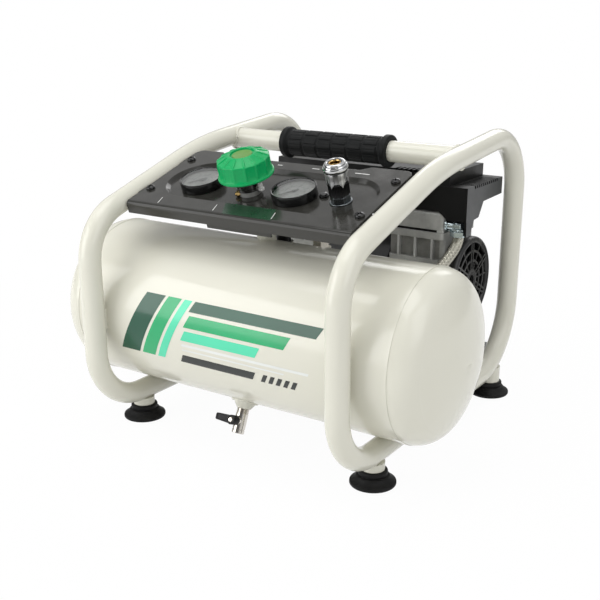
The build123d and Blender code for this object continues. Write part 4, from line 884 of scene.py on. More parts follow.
# panel screws with cross recesses, and the overload button
screwSet = {
    "x": 132.0, "rows": (33.0, 106.0), "turn": (20, 33), "button": (69.5, 68.5),
    # the recess: half length and half width of its arms, floor and top of the cut
    "arm": 3.3, "slot": 0.7, "floor": 1.4, "above": 4.0,
}
headProfile = [
    (0, 0.0), (5.0, 0.0), (5.0, 1.1), (4.8, 2.0), (4.2, 2.8), (3.2, 3.3), (1.6, 3.5), (0, 3.5),
]
buttonProfile = [
    (0, 0.0), (5.0, 0.0), (5.0, 1.6), (4.5, 2.1), (3.9, 2.2), (3.9, 3.2), (3.4, 3.5), (0, 3.3),
]
shape, cutter = newShape(), newShape()
arm, slot, floor, above = (screwSet[key] for key in ("arm", "slot", "floor", "above"))
for k, (x, s) in enumerate([(sx * screwSet["x"], s) for sx in (-1, 1) for s in screwSet["rows"]]):
    at = turnedBy(onPanel(x, s, 0.0), screwSet["turn"][0] + screwSet["turn"][1] * k)
    addTurned(shape, headProfile, at, segments=40)
    addBlock(cutter, (-arm, -slot, floor), (arm, slot, above), at)
    addBlock(cutter, (-slot, -arm, floor), (slot, -slot, above), at)
    addBlock(cutter, (-slot, slot, floor), (slot, arm, above), at)
addTurned(shape, buttonProfile, onPanel(*screwSet["button"], panelPlace["recess"]), segments=40)
screws = cutAway(meshOf(shape, "panelScrews"), cutter)
make(screws, "panelScrews", "bezelBlack", "black_steel", ["panel_screws"])

# rubber grip: end flanges, and staggered pads in bands
gripSet = {
    "start": -76.5, "length": 142.0, "y": 54.5, "z": 306.1, "bore": 12.1, "body": 14.6, "pad": 15.6,
    "flange": 18.2, "flangeEdge": 1.8, "flangeFoot": (6.4, 9.6), "plain": 11.0, "bands": 6, "pads": 9,
    # stagger from band to band, groove beside a pad, and the dent along its middle
    "stagger": (0.5, 0.13), "groove": (1.0, 1.9), "gap": (0.07, 0.11), "dent": 0.25, "dentSpan": (0.42, 0.46),
    "steps": 236, "fine": (0.15, 0.35, 0.7),
}


def gripCore(h):
    edge = gripSet["flangeEdge"]
    d = min(h, gripSet["length"] - h)
    if d < edge:
        return gripSet["flange"] - edge + math.sqrt(max(0.0, edge**2 - (edge - d) ** 2))
    return gripSet["flange"] - (gripSet["flange"] - gripSet["body"]) * smooth(d, *gripSet["flangeFoot"])


# rises at a pad's one side and falls again at its other side
def plateau(x, span, whole):
    low, high = span
    return smooth(x, low, high) * (1 - smooth(x, whole - high, whole - low))


def gripPads(angle, radius, height):
    room = (gripSet["length"] - 2 * gripSet["plain"]) / gripSet["bands"]
    band, t = divmod(height - gripSet["plain"], room)
    if not 0 <= band < gripSet["bands"] or radius > gripSet["body"] + 0.2:
        return radius, height
    every, each = gripSet["stagger"]
    turn = (angle / (2 * math.pi) * gripSet["pads"] + every * (band % 2) + each * band) % 1.0
    dent = gripSet["dent"] * plateau(turn, gripSet["dentSpan"], 1.0)
    raised = plateau(t, gripSet["groove"], room) * plateau(turn, gripSet["gap"], 1.0)
    return radius + (gripSet["pad"] - gripSet["body"]) * raised * (1 - dent), height


gripSeat = seat((gripSet["start"], gripSet["y"], gripSet["z"]), (0, 1, 0), (1, 0, 0))
heights = [gripSet["length"] * i / gripSet["steps"] for i in range(gripSet["steps"] + 1)]
heights += [h for fine in gripSet["fine"] for h in (fine, gripSet["length"] - fine)]
gripProfile = [(gripCore(h), h) for h in sorted(set(heights))]
gripProfile = [(gripSet["bore"], 0.0)] + gripProfile + [(gripSet["bore"], gripSet["length"])]
grip = addRing(newShape(), gripProfile, gripSeat, segments=180, around=gripPads)
make(grip, "handleGrip", "gripRubber", "grip_rubber", ["handle_grip"], sharp=40)

# rubber feet
footSet = {"x": (-155.0, 155.0), "y": (-130.5, 159.5)}
footProfile = [
    (0, 0.0), (20.5, 0.0), (21.2, 0.7), (22.6, 0.7), (23.5, 0.9), (24.0, 1.7), (24.0, 3.5), (23.7, 4.3),
    (23.0, 4.7), (21.0, 6.0), (19.0, 7.7), (17.6, 9.4), (17.0, 10.4), (16.4, 10.8), (15.3, 10.9),
    (14.9, 11.2), (14.9, 11.6), (15.2, 12.0), (15.2, 15.3), (14.8, 16.2), (13.9, 16.8), (12.9, 17.0),
    (4.1, 17.0), (4.1, 7.0), (0, 7.0),
]
feet = newShape()
for x in footSet["x"]:
    for y in footSet["y"]:
        addTurned(feet, footProfile, seat((x, y, 0)), segments=80)
make(feet, "rubberFeet", "footRubber", "foot_rubber", ["rubber_feet"], sharp=40)

# weld beads where the handle meets the loops, and round the drain boss
drainSet = {"skin": (-2.5, -134.113, 54.739), "out": (0, -0.42262, -0.90631), "axis": 22.0, "reach": 8.2}
weldSet = {
    "loop": 155.0, "drop": 3.19, "tilt": math.radians(5.28), "r": 12.0, "deepest": -11.7,
    "outward": 0.3, "inward": 0.6,
    "boss": 13.0, "bossOff": 0.4, "bossLift": 0.3,
    # bead's radius, and its ripples as (height, waves, start)
    "handleBead": (1.9, [(0.1, 26, 0), (0.06, 7, 0)]),
    "bossBead": (1.7, [(0.12, 17, 0), (0.1, 5, 1)]),
    "level": 0.9,
}


def rippled(bead, ripples):
    def radius(t):
        waves = [high * math.sin(t * 2 * math.pi * count + start) for high, count, start in ripples]
        return bead * sum(waves, weldSet["level"])

    return radius


drainAt = seat(drainSet["skin"], (1, 0, 0), drainSet["out"])
welds = newShape()
for side in (-1, 1):
    ring = []
    for a in turnsOf(120):
        off = max(weldSet["deepest"], weldSet["r"] * math.sin(a - weldSet["tilt"]) - weldSet["drop"])
        x = side * (weldSet["loop"] - math.sqrt(weldSet["r"] ** 2 - off**2))
        y, z = polar(weldSet["r"] + weldSet["outward"], a)
        ring.append(Vector((x - side * weldSet["inward"], gripSet["y"] + y, gripSet["z"] + z)) * mm)
    addBar(welds, ring, rippled(*weldSet["handleBead"]), segments=12, looped=True)
ring = []
for a in turnsOf(96):
    x, y = polar(weldSet["boss"] + weldSet["bossOff"], a)
    drop = math.sqrt(tankPlace["r"] ** 2 - y**2) - tankPlace["r"]
    ring.append(drainAt @ Vector((x, y, drop + weldSet["bossLift"])))
addBar(welds, ring, rippled(*weldSet["bossBead"]), segments=10, looped=True)
make(welds, "weldRipples", "creamEnamel", "cream_paint", sharp=60)

# plain striped decal on the tank's front
decalSet = {
    "slant": 0.55,  # shift of x, in millimetres, for each millimetre up the skin
    "lift": (0.02, 0.2),
    "step": 1.5,
    "look": {"grain": 2600.0, "depth": 0.00001, "strength": 0.08, "drift": 0.1, "dust": 0.0, "coat": 0.2},
    # name, colour, stripes of (left, right, low angle, high angle)
    "inks": [
        ("Forest", (0.006, 0.072, 0.038), [(-118, -92, -20, 25), (-52, 104, 17.5, 25)]),
        ("Leaf", (0.014, 0.36, 0.135), [(-88, -70, -20, 25), (-48, 78, 6.5, 15)]),
        ("Mint", (0.085, 0.66, 0.4), [(-66, -56, -20, 25), (-44, 52, -3, 4)]),
        ("Pale", (0.74, 0.76, 0.74), [(-40, 118, -7.2, -5.4), (-37, 92, -10.4, -9.4)]),
        (
            "Night",
            (0.012, 0.016, 0.014),
            [(-34, 60, -20, -14)] + [(x, x + 5, -20, -14) for x in range(70, 111, 9)],
        ),
    ],
}
for name, ink, stripes in decalSet["inks"]:
    coated("decal" + name, ink, 0.2, **decalSet["look"])
    shape = newShape()
    low, high = decalSet["lift"]
    for left, right, start, end in stripes:
        rows = []
        steps = max(2, int((end - start) / decalSet["step"]))
        for k in range(steps + 1):
            angle = start + (end - start) * k / steps
            lean = decalSet["slant"] * math.radians(angle) * tankPlace["r"]
            corners = [(left, low), (right, low), (right, high), (left, high)]
            rows.append([onTank(x + lean, angle, lift) for x, lift in corners])
        addRows(shape, rows, capped=True)
    make(shape, "tankDecal" + name, "decal" + name, "cream_paint", sharp=30)

# plain printing on the panel: a green field, slanted divider strokes, short rules behind the controls
printSet = {
    "field": [(-12.0, 3.6), (48.0, 3.6), (40.5, 24.5), (-22.5, 24.5)],
    "strokes": (-100.0, -26.5, 46.5),
    "stroke": [(0.0, 6.4), (0.9, 6.4), (-2.1, 18.6), (-3.0, 18.6)],
    "rules": [(-18.5, 6.0), (26.0, 9.0), (79.0, 17.0)],  # start and length
    "ruleSpan": (115.4, 116.8),
    "ruleLean": 0.4,
    "levels": (0.02, 0.1, 0.18),
}
panelAt = onPanel(0, 0, 0)
lower, upper = printSet["levels"][:2], printSet["levels"][1:]
make(addPrism(newShape(), printSet["field"], *lower, panelAt), "panelLabel", "labelGreen", "panel_paint")
shape = newShape()
for x in printSet["strokes"]:
    addPrism(shape, [(x + off, s) for off, s in printSet["stroke"]], *upper, panelAt)
for x, wide in printSet["rules"]:
    (low, high), lean = printSet["ruleSpan"], printSet["ruleLean"]
    outline = [(x, low), (x + wide, low), (x + wide + lean, high), (x + lean, high)]
    addPrism(shape, outline, *lower, panelAt)
make(shape, "panelRules", "printWhite", "panel_paint")

# drain cock: the last turns of its pipe thread, its barrel, and the lever's boss
leverDir = (0, drainSet["out"][2], -drainSet["out"][1])
leverOrigin = Vector(drainSet["skin"]) + Vector(drainSet["out"]) * drainSet["axis"]
leverAt = seat(leverOrigin, (1, 0, 0), leverDir)
threadSet = {"turns": 4, "pitch": 1.3, "root": 6.2, "crest": 6.9, "heights": (8.5, 8.8, 9.2, 9.5)}
root, crest = threadSet["root"], threadSet["crest"]
cockProfile = [(2.2, 8.0), (root, 8.0)]
for k in range(threadSet["turns"]):
    for r, h in zip((crest, crest, root, root), threadSet["heights"]):
        cockProfile.append((r, h + threadSet["pitch"] * k))
cockProfile += [
    (6.3, 13.4), (6.8, 13.7), (6.8, 30.4), (6.5, 30.7), (6.5, 31.3), (6.8, 31.6), (6.8, 34.9),
    (6.3, 35.5), (3.9, 35.5), (3.4, 35.0), (3.4, 28.2), (2.2, 28.0),
]
bossProfile = [(2.7, 5.0), (4.6, 5.0), (4.6, 7.7), (4.2, 8.2), (2.7, 8.2)]
cock = addRing(newShape(), cockProfile, drainAt, segments=72)
addRing(cock, bossProfile, leverAt, segments=48)
make(cock, "drainCock", "nickel", "nickel", ["drain_valve"])

# drain lever and its slotted screw; heights are from the lever's foot
leverSet = {
    "gap": 0.3, "armSpan": (6.0, 10.2), "dishSpan": (9.7, 12), "slot": (3, 0.35), "slotSpan": (11.2, 13),
    "hub": [
        (2.75, 0.0), (4.9, 0.0), (5.2, 0.4), (5.2, 9.9), (4.8, 10.5), (3.4, 10.5), (3.2, 10.1),
        (2.75, 10.1),
    ],
    "arm": [
        (0.5, 4.3), (-4.0, 4.35), (-18.6, 3.6), (-19.5, 3.2), (-20.0, 2.3), (-20.0, -2.3), (-19.5, -3.2),
        (-18.6, -3.6), (-4.0, -4.35), (0.5, -4.3),
    ],
    "dish": [(-6.4, 3.0), (-18.0, 2.5), (-18.6, 2.0), (-18.6, -2.0), (-18.0, -2.5), (-6.4, -3.0)],
    "hole": [(2.72, -1), (2.72, 12)],
    "screw": [
        (0, 9.0), (1.5, 9.0), (1.5, 10.5), (2.4, 10.5), (2.4, 11.2), (2.0, 11.7), (0, 11.9),
    ],
}


leverFoot = drainSet["reach"] + leverSet["gap"]


def raised(profile):
    return [(r, leverFoot + h) for r, h in profile]


def raisedSpan(key):
    return [leverFoot + h for h in leverSet[key]]


lever = addRing(newShape(), raised(leverSet["hub"]), leverAt, segments=56)
addPrism(lever, leverSet["arm"], *raisedSpan("armSpan"), leverAt)
cutter = addTurned(newShape(), raised(leverSet["hole"]), leverAt, segments=40)
addPrism(cutter, leverSet["dish"], *raisedSpan("dishSpan"), leverAt)
lever = cutAway(meshOf(lever, "drainLever"), cutter)
make(lever, "drainLever", "blackPlastic", "black_plastic", ["drain_lever"], body="drain_lever", bevel=0.45)
screw = addTurned(newShape(), raised(leverSet["screw"]), leverAt, segments=40)
long, wide = leverSet["slot"]
low, high = raisedSpan("slotSpan")
cutter = addBlock(newShape(), (-long, -wide, low), (long, wide, high), leverAt)
screw = cutAway(meshOf(screw, "leverScrew"), cutter)
make(screw, "leverScrew", "nickel", "nickel", ["drain_screw"], body="drain_lever")
print("grip, feet, decal and drain made")

# intake cover: stepped shell with combed edges, gussets and end tabs
coverSet = {
    "half": 142.0, "front": 95.5, "wall": 2.5, "skirtFrom": 117.0,
    "upperHalf": 119.0, "upperRear": 188.5, "upperFoot": 262.0, "rake": 1.5, "top": 280.2,
    # outlines seen from the end, as (y, z)
    "end": [(95.5, 265.2), (194.5, 265.2), (194.5, 245.0), (141.5, 243.7), (95.5, 243.7)],
    "skirt": [(95.5, 250.0), (139.5, 250.0), (141.5, 243.7), (129.5, 226.8), (118.5, 225.8), (95.5, 225.8)],
    "tab": [(96.0, 227.5), (118.0, 227.5), (107.2, 209.4), (105.8, 208.6), (98.0, 208.6), (96.6, 209.8)],
    "hollow": [
        (98.0, 262.7), (192.0, 262.7), (192.0, 247.0), (139.0, 246.4), (127.0, 228.0), (127.0, 200.0),
        (98.0, 200.0),
    ],
    "upperHollow": [(-116.5, 99.0, 255.0), (116.5, 186.0, 277.7)],
    # lower front walls, down to the heads and between them: half length, low and high edge
    "frontWalls": [(118.0, 234.8, 246.0), (41.8, 222.8, 240.0)],
    # combed vents: count, start, pitch, width, reach and heights along a shoulder
    "shoulderComb": {
        "count": 12, "start": 115.0, "pitch": 5.6, "wide": 2.9, "reach": (123.0, 143.0), "z": (261.9, 268.0),
    },
    # and along part of the top's front edge
    "frontComb": {"count": 7, "start": 48.0, "end": 51.4, "pitch": 6.2, "reach": 13.0, "z": (276.8, 283.0)},
    "gusset": [(105.5, 236.0), (118.0, 225.8), (119.0, 225.8), (119.0, 236.0)],
    "gussetSheet": 0.9,
}
endFace = seat((0, 0, 0), (0, 1, 0), (1, 0, 0))  # local x is y, local y is z, local z is x
half, front, wall = coverSet["half"], coverSet["front"], coverSet["wall"]
mesh = meshOf(addPrism(newShape(), coverSet["end"], -half, half, endFace), "coverBody")
for low, high in ((-half, -coverSet["skirtFrom"]), (coverSet["skirtFrom"], half)):
    mesh = fuse(mesh, addPrism(newShape(), coverSet["skirt"], low, high, endFace))
rear, foot, top = coverSet["upperRear"], coverSet["upperFoot"], coverSet["top"]
upper = [(front, foot), (rear, foot), (rear, top), (front + coverSet["rake"], top)]
mesh = fuse(mesh, addPrism(newShape(), upper, -coverSet["upperHalf"], coverSet["upperHalf"], endFace))
for reach, low, high in coverSet["frontWalls"]:
    mesh = fuse(mesh, addBlock(newShape(), (-reach, front, low), (reach, front + wall, high), atOrigin))
mesh = cutAway(mesh, addPrism(newShape(), coverSet["hollow"], -half + wall, half - wall, endFace))
mesh = cutAway(mesh, addBlock(newShape(), *coverSet["upperHollow"], atOrigin))
combs = newShape()
comb = coverSet["shoulderComb"]
for side in (-1, 1):
    for k in range(comb["count"]):
        y = comb["start"] + comb["pitch"] * k
        left, right = sorted(side * x for x in comb["reach"])
        addBlock(combs, (left, y, comb["z"][0]), (right, y + comb["wide"], comb["z"][1]), atOrigin)
comb = coverSet["frontComb"]
for k in range(comb["count"]):
    left, right = (comb[key] + comb["pitch"] * k for key in ("start", "end"))
    addBlock(combs, (left, front - 1, comb["z"][0]), (right, front + comb["reach"], comb["z"][1]), atOrigin)
mesh = cutAway(mesh, combs)
sheet = coverSet["gussetSheet"]
gussetAt = seat((0, front + sheet, 0), (1, 0, 0), (0, -1, 0))
for side in (-1, 1):
    low, high = sorted((side * (half - wall), side * half))
    mesh = fuse(mesh, addPrism(newShape(), coverSet["tab"], low, high, endFace))
    gusset = [(side * x, z) for x, z in coverSet["gusset"]][::side]  # slants beside the head
    mesh = fuse(mesh, addPrism(newShape(), gusset, 0.0, sheet, gussetAt))
make(mesh, "intakeCover", "coverPlastic", "black_plastic", ["intake_cover"], bevel=0.7)
print("cover made")

# cast cases: a dark strip in the deck's slot (painted shade), rib crests painted lighter (painted highlight),
# darker plates in the windows between them (painted shade)
caseSet = {
    "x": 78.0, "ends": (-34.5, 30.0), "front": 94.5, "window": 99.5, "low": 177.8, "high": 201.6,
    "deck": 209.75, "slot": 2.9, "slotShade": (-33.5, 27.0), "slotShadeDepth": (97.4, 100.2),
    "bridge": (27.0, 35.0), "bridgeDepth": (96.6, 100.2),
    "ribs": (-22.0, 0.0, 22.0), "rib": 3.0, "crest": 0.95,
    "crestDepth": (-0.35, 0.5), "windowDepth": (-0.3, 0.5), "seam": 0.05,
}


# block on the front or rear of one case: x from the case's middle outwards, y as on its front
def casePlate(shape, side, rear, spanX, spanY, low, high):
    left, right = sorted(side * caseSet["x"] + side * x for x in spanX)
    near, far = sorted(2 * pumpPlace["y"] - y if rear else y for y in spanY)
    addBlock(shape, (left, near, low), (right, far, high), atOrigin)


slotShades, crestHighlights, windowShades = newShape(), newShape(), newShape()
deck = (caseSet["deck"], caseSet["deck"] + caseSet["slot"])
span = (caseSet["low"], caseSet["high"])
crestY = [caseSet["front"] + y for y in caseSet["crestDepth"]]
windowY = [caseSet["window"] + y for y in caseSet["windowDepth"]]
edges = [x + off for x in caseSet["ribs"] for off in (-caseSet["rib"] / 2, caseSet["rib"] / 2)]
edges = [caseSet["ends"][0]] + edges + [caseSet["ends"][1]]
for side in (-1, 1):
    for rear in (False, True):
        casePlate(slotShades, side, rear, caseSet["slotShade"], caseSet["slotShadeDepth"], *deck)
        casePlate(crestHighlights, side, rear, caseSet["bridge"], caseSet["bridgeDepth"], *deck)
        for x in caseSet["ribs"]:
            casePlate(crestHighlights, side, rear, (x - caseSet["crest"], x + caseSet["crest"]), crestY, *span)
        for left, right in zip(edges[0::2], edges[1::2]):
            casePlate(windowShades, side, rear, (left + caseSet["seam"], right - caseSet["seam"]), windowY, *span)
make(slotShades, "deckSlotShades", "footRubber", "black_plastic", bevel=0.3)
make(crestHighlights, "ribCrestHighlights", "castCrestHighlight", "cast_aluminium", bevel=0.25)
make(windowShades, "caseWindowShades", "castShade", "cast_aluminium")
print("case details made")

# fan guards: rounded rim, a dark disc behind the spokes standing in for the shade behind the slots (painted
# shade), rings, hub, twin spokes with a thin one between
guardSet = {
    "out": 114.0, "pairs": 6, "gap": 5.2, "rib": 2.1, "tip": 45.2,
    "rings": [(22.5, 25.5), (34.0, 37.0)], "ringLevels": (15.6, 17.7, 18.2), "ringEdge": 0.5,
    # middle and half axes of the rim's rounding
    "roundAt": (48.6, 14.2), "roundBy": (4.4, 5.7),
    # inner end, low and high side of the twin spokes and of the thin ones
    "spoke": (12.5, 15.7, 18.6), "thinSpoke": (13.5, 15.7, 17.6), "thin": 0.8,
}
rimProfile = [(49.4, 0.3), (52.6, 0.0), (53.0, 0.5), (53.0, 13.0)]
for a in range(0, 181, 15):
    x, y = polar(1.0, math.radians(a))
    (midR, midH), (axisR, axisH) = guardSet["roundAt"], guardSet["roundBy"]
    rimProfile.append((midR + axisR * x, midH + axisH * y))
rimProfile += [(44.2, 12.6), (46.0, 12.2), (49.4, 10.0)]
# dark disc behind the spokes: painted shade behind the guard's slots
shadeDiscProfile = [(12.0, 0.3), (49.8, 0.3), (49.8, 1.2), (12.0, 1.2)]
hubProfile = [
    (6.6, 15.4), (13.5, 15.4), (14.2, 16.2), (14.2, 18.0), (13.4, 18.8), (11.4, 19.0), (10.8, 18.5),
    (8.6, 18.5), (8.0, 19.0), (7.0, 19.0), (6.6, 18.6),
]
guards = newShape()
for side in (-1, 1):
    at = onPump(side, guardSet["out"])
    addRing(guards, rimProfile, at, segments=120)
    foot, edge, top = guardSet["ringLevels"]
    for low, high in guardSet["rings"]:
        off = guardSet["ringEdge"]
        ring = [(low, foot), (high, foot), (high, edge), (high - off, top), (low + off, top), (low, edge)]
        addRing(guards, ring, at, segments=96)
    addRing(guards, shadeDiscProfile, at, segments=96)
    addRing(guards, hubProfile, at, segments=72)
    tip, rib, thin = guardSet["tip"], guardSet["rib"], guardSet["thin"]
    for k in range(guardSet["pairs"]):
        start, low, high = guardSet["spoke"]
        twin = turnedBy(at, 90 + 360 * k / guardSet["pairs"])
        for off in (-guardSet["gap"] / 2, guardSet["gap"] / 2):
            addBlock(guards, (start, off - rib / 2, low), (tip, off + rib / 2, high), twin)
        start, low, high = guardSet["thinSpoke"]
        between = turnedBy(at, 120 + 360 * k / guardSet["pairs"])
        addBlock(guards, (start, -thin, low), (tip, thin, high), between)
make(guards, "fanGuards", "guardPlastic", "black_plastic", ["fan_guards"], sharp=32)

# cooling fans with curved blades
fanSet = {
    "start": 117.0, "blades": 9, "steps": 8, "root": 11.0, "reach": 33.6, "sweep": 14, "twist": 1.6,
    "wide": (0.16, 0.1),
    # corners of a blade's section: height, lean, thickness to its side
    "section": [(1.0, -0.55, -0.9), (9.0, 0.55, -0.9), (9.0, 0.62, 0.9), (1.0, -0.48, 0.9)],
}
fanHubProfile = [(6.1, 0.0), (12.0, 0.0), (12.0, 8.4), (11.2, 9.6), (9.4, 10.0), (6.1, 10.0)]


def bladeRing(blade, t, at):
    r = fanSet["root"] + fanSet["reach"] * t
    sweep = math.radians(360 * blade / fanSet["blades"] + fanSet["sweep"] * t * t)
    wide = fanSet["wide"][0] + fanSet["wide"][1] * t
    ring = []
    for h, lean, thick in fanSet["section"]:
        a = sweep + lean * wide * fanSet["twist"]
        c, s = math.cos(a), math.sin(a)
        ring.append(at @ Vector((r * c - thick * s, r * s + thick * c, h)))
    return ring


fans = newShape()
for side in (-1, 1):
    at = onPump(side, fanSet["start"])
    addRing(fans, fanHubProfile, at, segments=64)
    for blade in range(fanSet["blades"]):
        rows = [bladeRing(blade, i / fanSet["steps"], at) for i in range(fanSet["steps"] + 1)]
        addRows(fans, rows, capped=True)
make(fans, "coolingFans", "blackPlastic", "black_plastic", ["cooling_fans"], body="rotor", sharp=30)
print("guards and fans made")

# braided hose: core and two sets of woven wire bands along one smooth route
hoseSet = {
    "route": [
        (129.0, 105.0, 207.5), (129.0, 104.6, 202.5), (128.2, 97.5, 193.0), (125.6, 81.5, 182.5),
        (121.5, 62.0, 170.0), (118.0, 42.0, 159.9), (118.0, 27.6, 157.3),
    ],
    "radius": 6.0, "sunk": 0.35, "bands": 12, "pitch": 30.0, "steps": 150,
    "cover": 0.8, "lift": 0.1, "weave": 0.22,
    # corners of a band's section: share of its half width, height
    "section": [(-1, -0.16), (1, -0.16), (0.85, 0.06), (0.3, 0.12), (-0.3, 0.12), (-0.85, 0.06)],
}
route = bpy.data.curves.new("hoseRoute", "CURVE")
route.dimensions = "3D"
line = route.splines.new("NURBS")
line.points.add(len(hoseSet["route"]) - 1)
for point, spot in zip(line.points, hoseSet["route"]):
    point.co = tuple(c * mm for c in spot) + (1,)
line.order_u = 3
line.use_endpoint_u = True
line.resolution_u = 24
routeObject = bpy.data.objects.new("hoseRoute", route)
sampled = bpy.data.meshes.new_from_object(routeObject)
hosePoints = [v.co.copy() for v in sampled.vertices]
bpy.data.objects.remove(routeObject)
bpy.data.meshes.remove(sampled)
core = addBar(newShape(), hosePoints, hoseSet["radius"] - hoseSet["sunk"], segments=40)
make(core, "hoseCore", "hoseRubber", "braided_steel", ["discharge_hose"])
runs, side, length = [], None, 0.0
for i, p in enumerate(hosePoints):  # sides and run length along the route
    run = (hosePoints[min(i + 1, len(hosePoints) - 1)] - hosePoints[max(i - 1, 0)]).normalized()
    side = run.orthogonal().normalized() if side is None else (side - run * side.dot(run)).normalized()
    length += (p - hosePoints[i - 1]).length / mm if i else 0.0
    runs.append((p, side, run.cross(side), length))


def hosePoint(at, angle, radius):
    for (p, s, o, low), (q, s2, o2, high) in zip(runs, runs[1:]):
        if low <= at <= high or q is runs[-1][0]:
            t = min(1.0, max(0.0, (at - low) / max(1e-6, high - low)))
            u, w = s.lerp(s2, t).normalized(), o.lerp(o2, t).normalized()
            return p.lerp(q, t) + (u * math.cos(angle) + w * math.sin(angle)) * radius * mm


def braidRing(at, hand, band):
    bands, pitch = hoseSet["bands"], hoseSet["pitch"]
    angle = hand * 2 * math.pi * (at / pitch) + 2 * math.pi * band / bands
    over = math.sin(2 * math.pi * at / pitch * bands + (0 if hand > 0 else math.pi) + math.pi * band)
    lift = hoseSet["radius"] + hoseSet["lift"] + hoseSet["weave"] * over
    wide = math.pi / bands * hoseSet["cover"]
    return [hosePoint(at, angle + a * wide, lift + h) for a, h in hoseSet["section"]]


braid = newShape()
steps = hoseSet["steps"]
for hand in (-1, 1):
    for band in range(hoseSet["bands"]):
        addRows(braid, [braidRing(length * i / steps, hand, band) for i in range(steps + 1)], capped=True)
make(braid, "hoseBraid", "braidSteel", "braided_steel", sharp=45)

# plated elbow, union nuts and crimped ferrules at the hose's ends
fittingSet = {
    "x": 129.0, "y": 105.0, "level": 219.1, "armX": 114.0,
    # across flats, turn, low and high end of each nut
    "nuts": [(18.4, 25.0, 207.2, 213.6), (16.2, 2.0, 217.2, 222.4)],
    "teeth": (16, 0.7, 8.0, 213.9, 216.7),  # as for ribbed
}
unionProfile = [
    (6.35, 206.6), (7.3, 206.6), (7.6, 207.0), (7.6, 213.6), (8.5, 213.9), (8.9, 214.3), (8.9, 216.2),
    (8.5, 216.6), (7.0, 216.9), (7.0, 222.6), (6.6, 223.4), (5.2, 224.9), (3.0, 225.4), (0.05, 225.4),
    (0.05, 224.0), (4.0, 207.6), (6.35, 207.6),
]
armProfile = [
    (4.2, 0.0), (8.0, 0.0), (8.3, 0.3), (8.3, 2.0), (8.0, 2.4), (6.3, 2.6), (6.3, 13.0), (4.2, 13.0),
]
ferruleProfile = [
    (6.35, 0.2), (9.0, 0.2), (9.4, 0.6), (9.4, 4.6), (8.9, 5.1), (8.1, 5.2), (8.1, 6.4), (7.7, 6.7),
    (7.7, 7.3), (8.1, 7.6), (8.1, 9.4), (7.6, 10.0), (6.35, 10.0),
]
fitAt = seat((fittingSet["x"], fittingSet["y"], 0.0))
nuts = newShape()
for across, turn, low, high in fittingSet["nuts"]:
    addPrism(nuts, hexagon(across, turn), low, high, fitAt)
make(nuts, "unionNuts", "tealTintSteel", "chrome", bevel=0.7, steps=3)
ends = addRing(newShape(), unionProfile, fitAt, segments=128, around=ribbed(*fittingSet["teeth"]))
armAt = seat((fittingSet["armX"], fittingSet["y"], fittingSet["level"]), (0, 1, 0), (1, 0, 0))
addRing(ends, armProfile, armAt)
lowRun = (Vector(hoseSet["route"][-2]) - Vector(hoseSet["route"][-1])).normalized()
addRing(ends, ferruleProfile, seat(hoseSet["route"][-1], (1, 0, 0), lowRun))
make(ends, "hoseEnds", "tealTintSteel", "chrome", ["hose_fittings"])
print("hose made")

# floor, world and lamps
studioSet = {
    "floor": 4.0,
    "floorDrop": 0.0002,
    "floorColor": (0.86, 0.86, 0.86),
    # the floor is white to the eye, a little less so near the object: distances, shares
    "floorFade": (0.25, 0.8, 0.965, 1.0),
    "ambient": 0.55,
    # the room in reflections: brighter behind the object and high up, dimmer at the camera's side
    "rise": 0.9,
    "room": (-0.35, 0.75, 0.22, 0.8),
    "horizon": (0.12, 0.55, 0.4, 1.0),
    "roomRight": (0.45, 0.9, 0.0, 0.75),
    "lamps": [
        # name, place, aim, width, height, watts
        ("keyRight", (1.5, -0.5, 1.25), (0.0, 0.0, 0.15), 1.1, 1.5, 7.4),
        ("topSoft", (-0.1, -0.35, 1.9), (0.0, -0.05, 0.2), 1.5, 1.1, 12.0),
        ("fillLeft", (-1.15, -1.6, 0.8), (0.0, 0.0, 0.18), 1.5, 1.5, 20.5),
        ("backRim", (-0.4, 1.7, 1.3), (0.0, 0.0, 0.2), 1.4, 0.7, 8.0),
    ],
}
size = studioSet["floor"]
floorMesh = bpy.data.meshes.new("studioFloor")
corners = [(-size, -size, 0), (size, -size, 0), (size, size, 0), (-size, size, 0)]
floorMesh.from_pydata(corners, [], [(0, 1, 2, 3)])
studioFloor = bpy.data.objects.new("studioFloor", floorMesh)
studioFloor.location.z = -studioSet["floorDrop"]
bpy.context.collection.objects.link(studioFloor)
floorLook = {"Base Color": studioSet["floorColor"], "Roughness": 0.9, "Specular IOR Level": 0.1}
tree, inputs = newFinish("paleFloor", floorLook)
ray = tree.nodes.new("ShaderNodeLightPath").outputs
mirrored = calc(tree, "MAXIMUM", ray["Is Glossy Ray"], ray["Is Transmission Ray"])
seen = calc(tree, "MAXIMUM", ray["Is Camera Ray"], mirrored)
spot = tree.nodes.new("ShaderNodeVectorMath")
spot.operation = "LENGTH"
feed(tree, objectPoint(tree), spot.inputs[0])
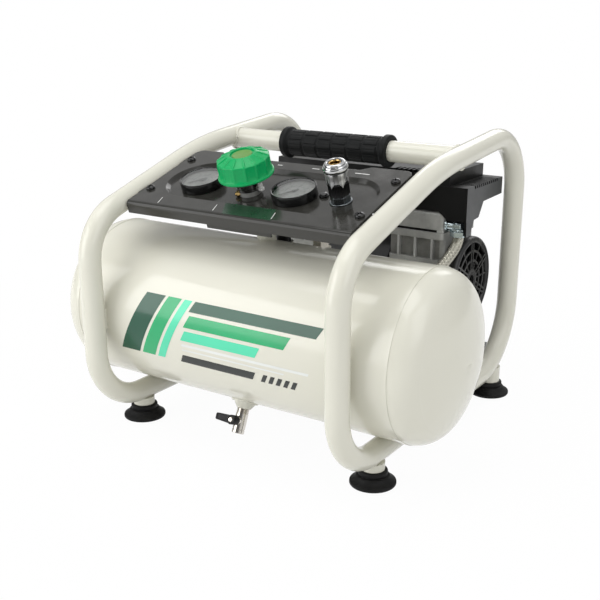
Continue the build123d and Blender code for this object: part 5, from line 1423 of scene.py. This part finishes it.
share = spread(tree, spot.outputs["Value"], *studioSet["floorFade"])
mixed = tree.nodes.new("ShaderNodeMixShader")
feed(tree, calc(tree, "MULTIPLY", seen, share), mixed.inputs[0])
feed(tree, tree.nodes["Principled BSDF"].outputs[0], mixed.inputs[1])
feed(tree, tree.nodes.new("ShaderNodeEmission").outputs[0], mixed.inputs[2])
feed(tree, mixed.outputs[0], tree.nodes["Material Output"].inputs["Surface"])
floorMesh.materials.append(finish["paleFloor"])

world = bpy.data.worlds.new("studioWorld")
bpy.context.scene.world = world
world.use_nodes = True
tree = world.node_tree
ray = tree.nodes.new("ShaderNodeLightPath").outputs
back = tree.nodes["Background"].inputs
feed(tree, (1, 1, 1), back["Color"])
heading = parts(tree, tree.nodes.new("ShaderNodeTexCoord").outputs["Generated"])
depth = calc(tree, "ADD", heading["Y"], calc(tree, "MULTIPLY", heading["Z"], studioSet["rise"]))
behind = spread(tree, depth, *studioSet["room"])
level = spread(tree, heading["Z"], *studioSet["horizon"])
rightSide = spread(tree, heading["X"], *studioSet["roomRight"])
room = calc(tree, "MAXIMUM", calc(tree, "MULTIPLY", behind, level), rightSide)
mirrored = calc(tree, "MULTIPLY", ray["Is Glossy Ray"], room)
plain = calc(tree, "MAXIMUM", ray["Is Camera Ray"], ray["Is Transmission Ray"])
seen = calc(tree, "MAXIMUM", plain, mirrored)
diffuse = calc(tree, "MULTIPLY", calc(tree, "SUBTRACT", 1.0, ray["Is Glossy Ray"]), studioSet["ambient"])
feed(tree, calc(tree, "MAXIMUM", seen, diffuse), back["Strength"])
for name, spot, aim, wide, tall, watts in studioSet["lamps"]:
    lampData = bpy.data.lights.new(name, "AREA")
    lampData.shape = "RECTANGLE"
    lampData.size, lampData.size_y = wide, tall
    lampData.energy = watts
    lamp = bpy.data.objects.new(name, lampData)
    lamp.location = spot
    lamp.rotation_euler = (Vector(aim) - Vector(spot)).to_track_quat("-Z", "Y").to_euler()
    bpy.context.collection.objects.link(lamp)
print("studio lit")
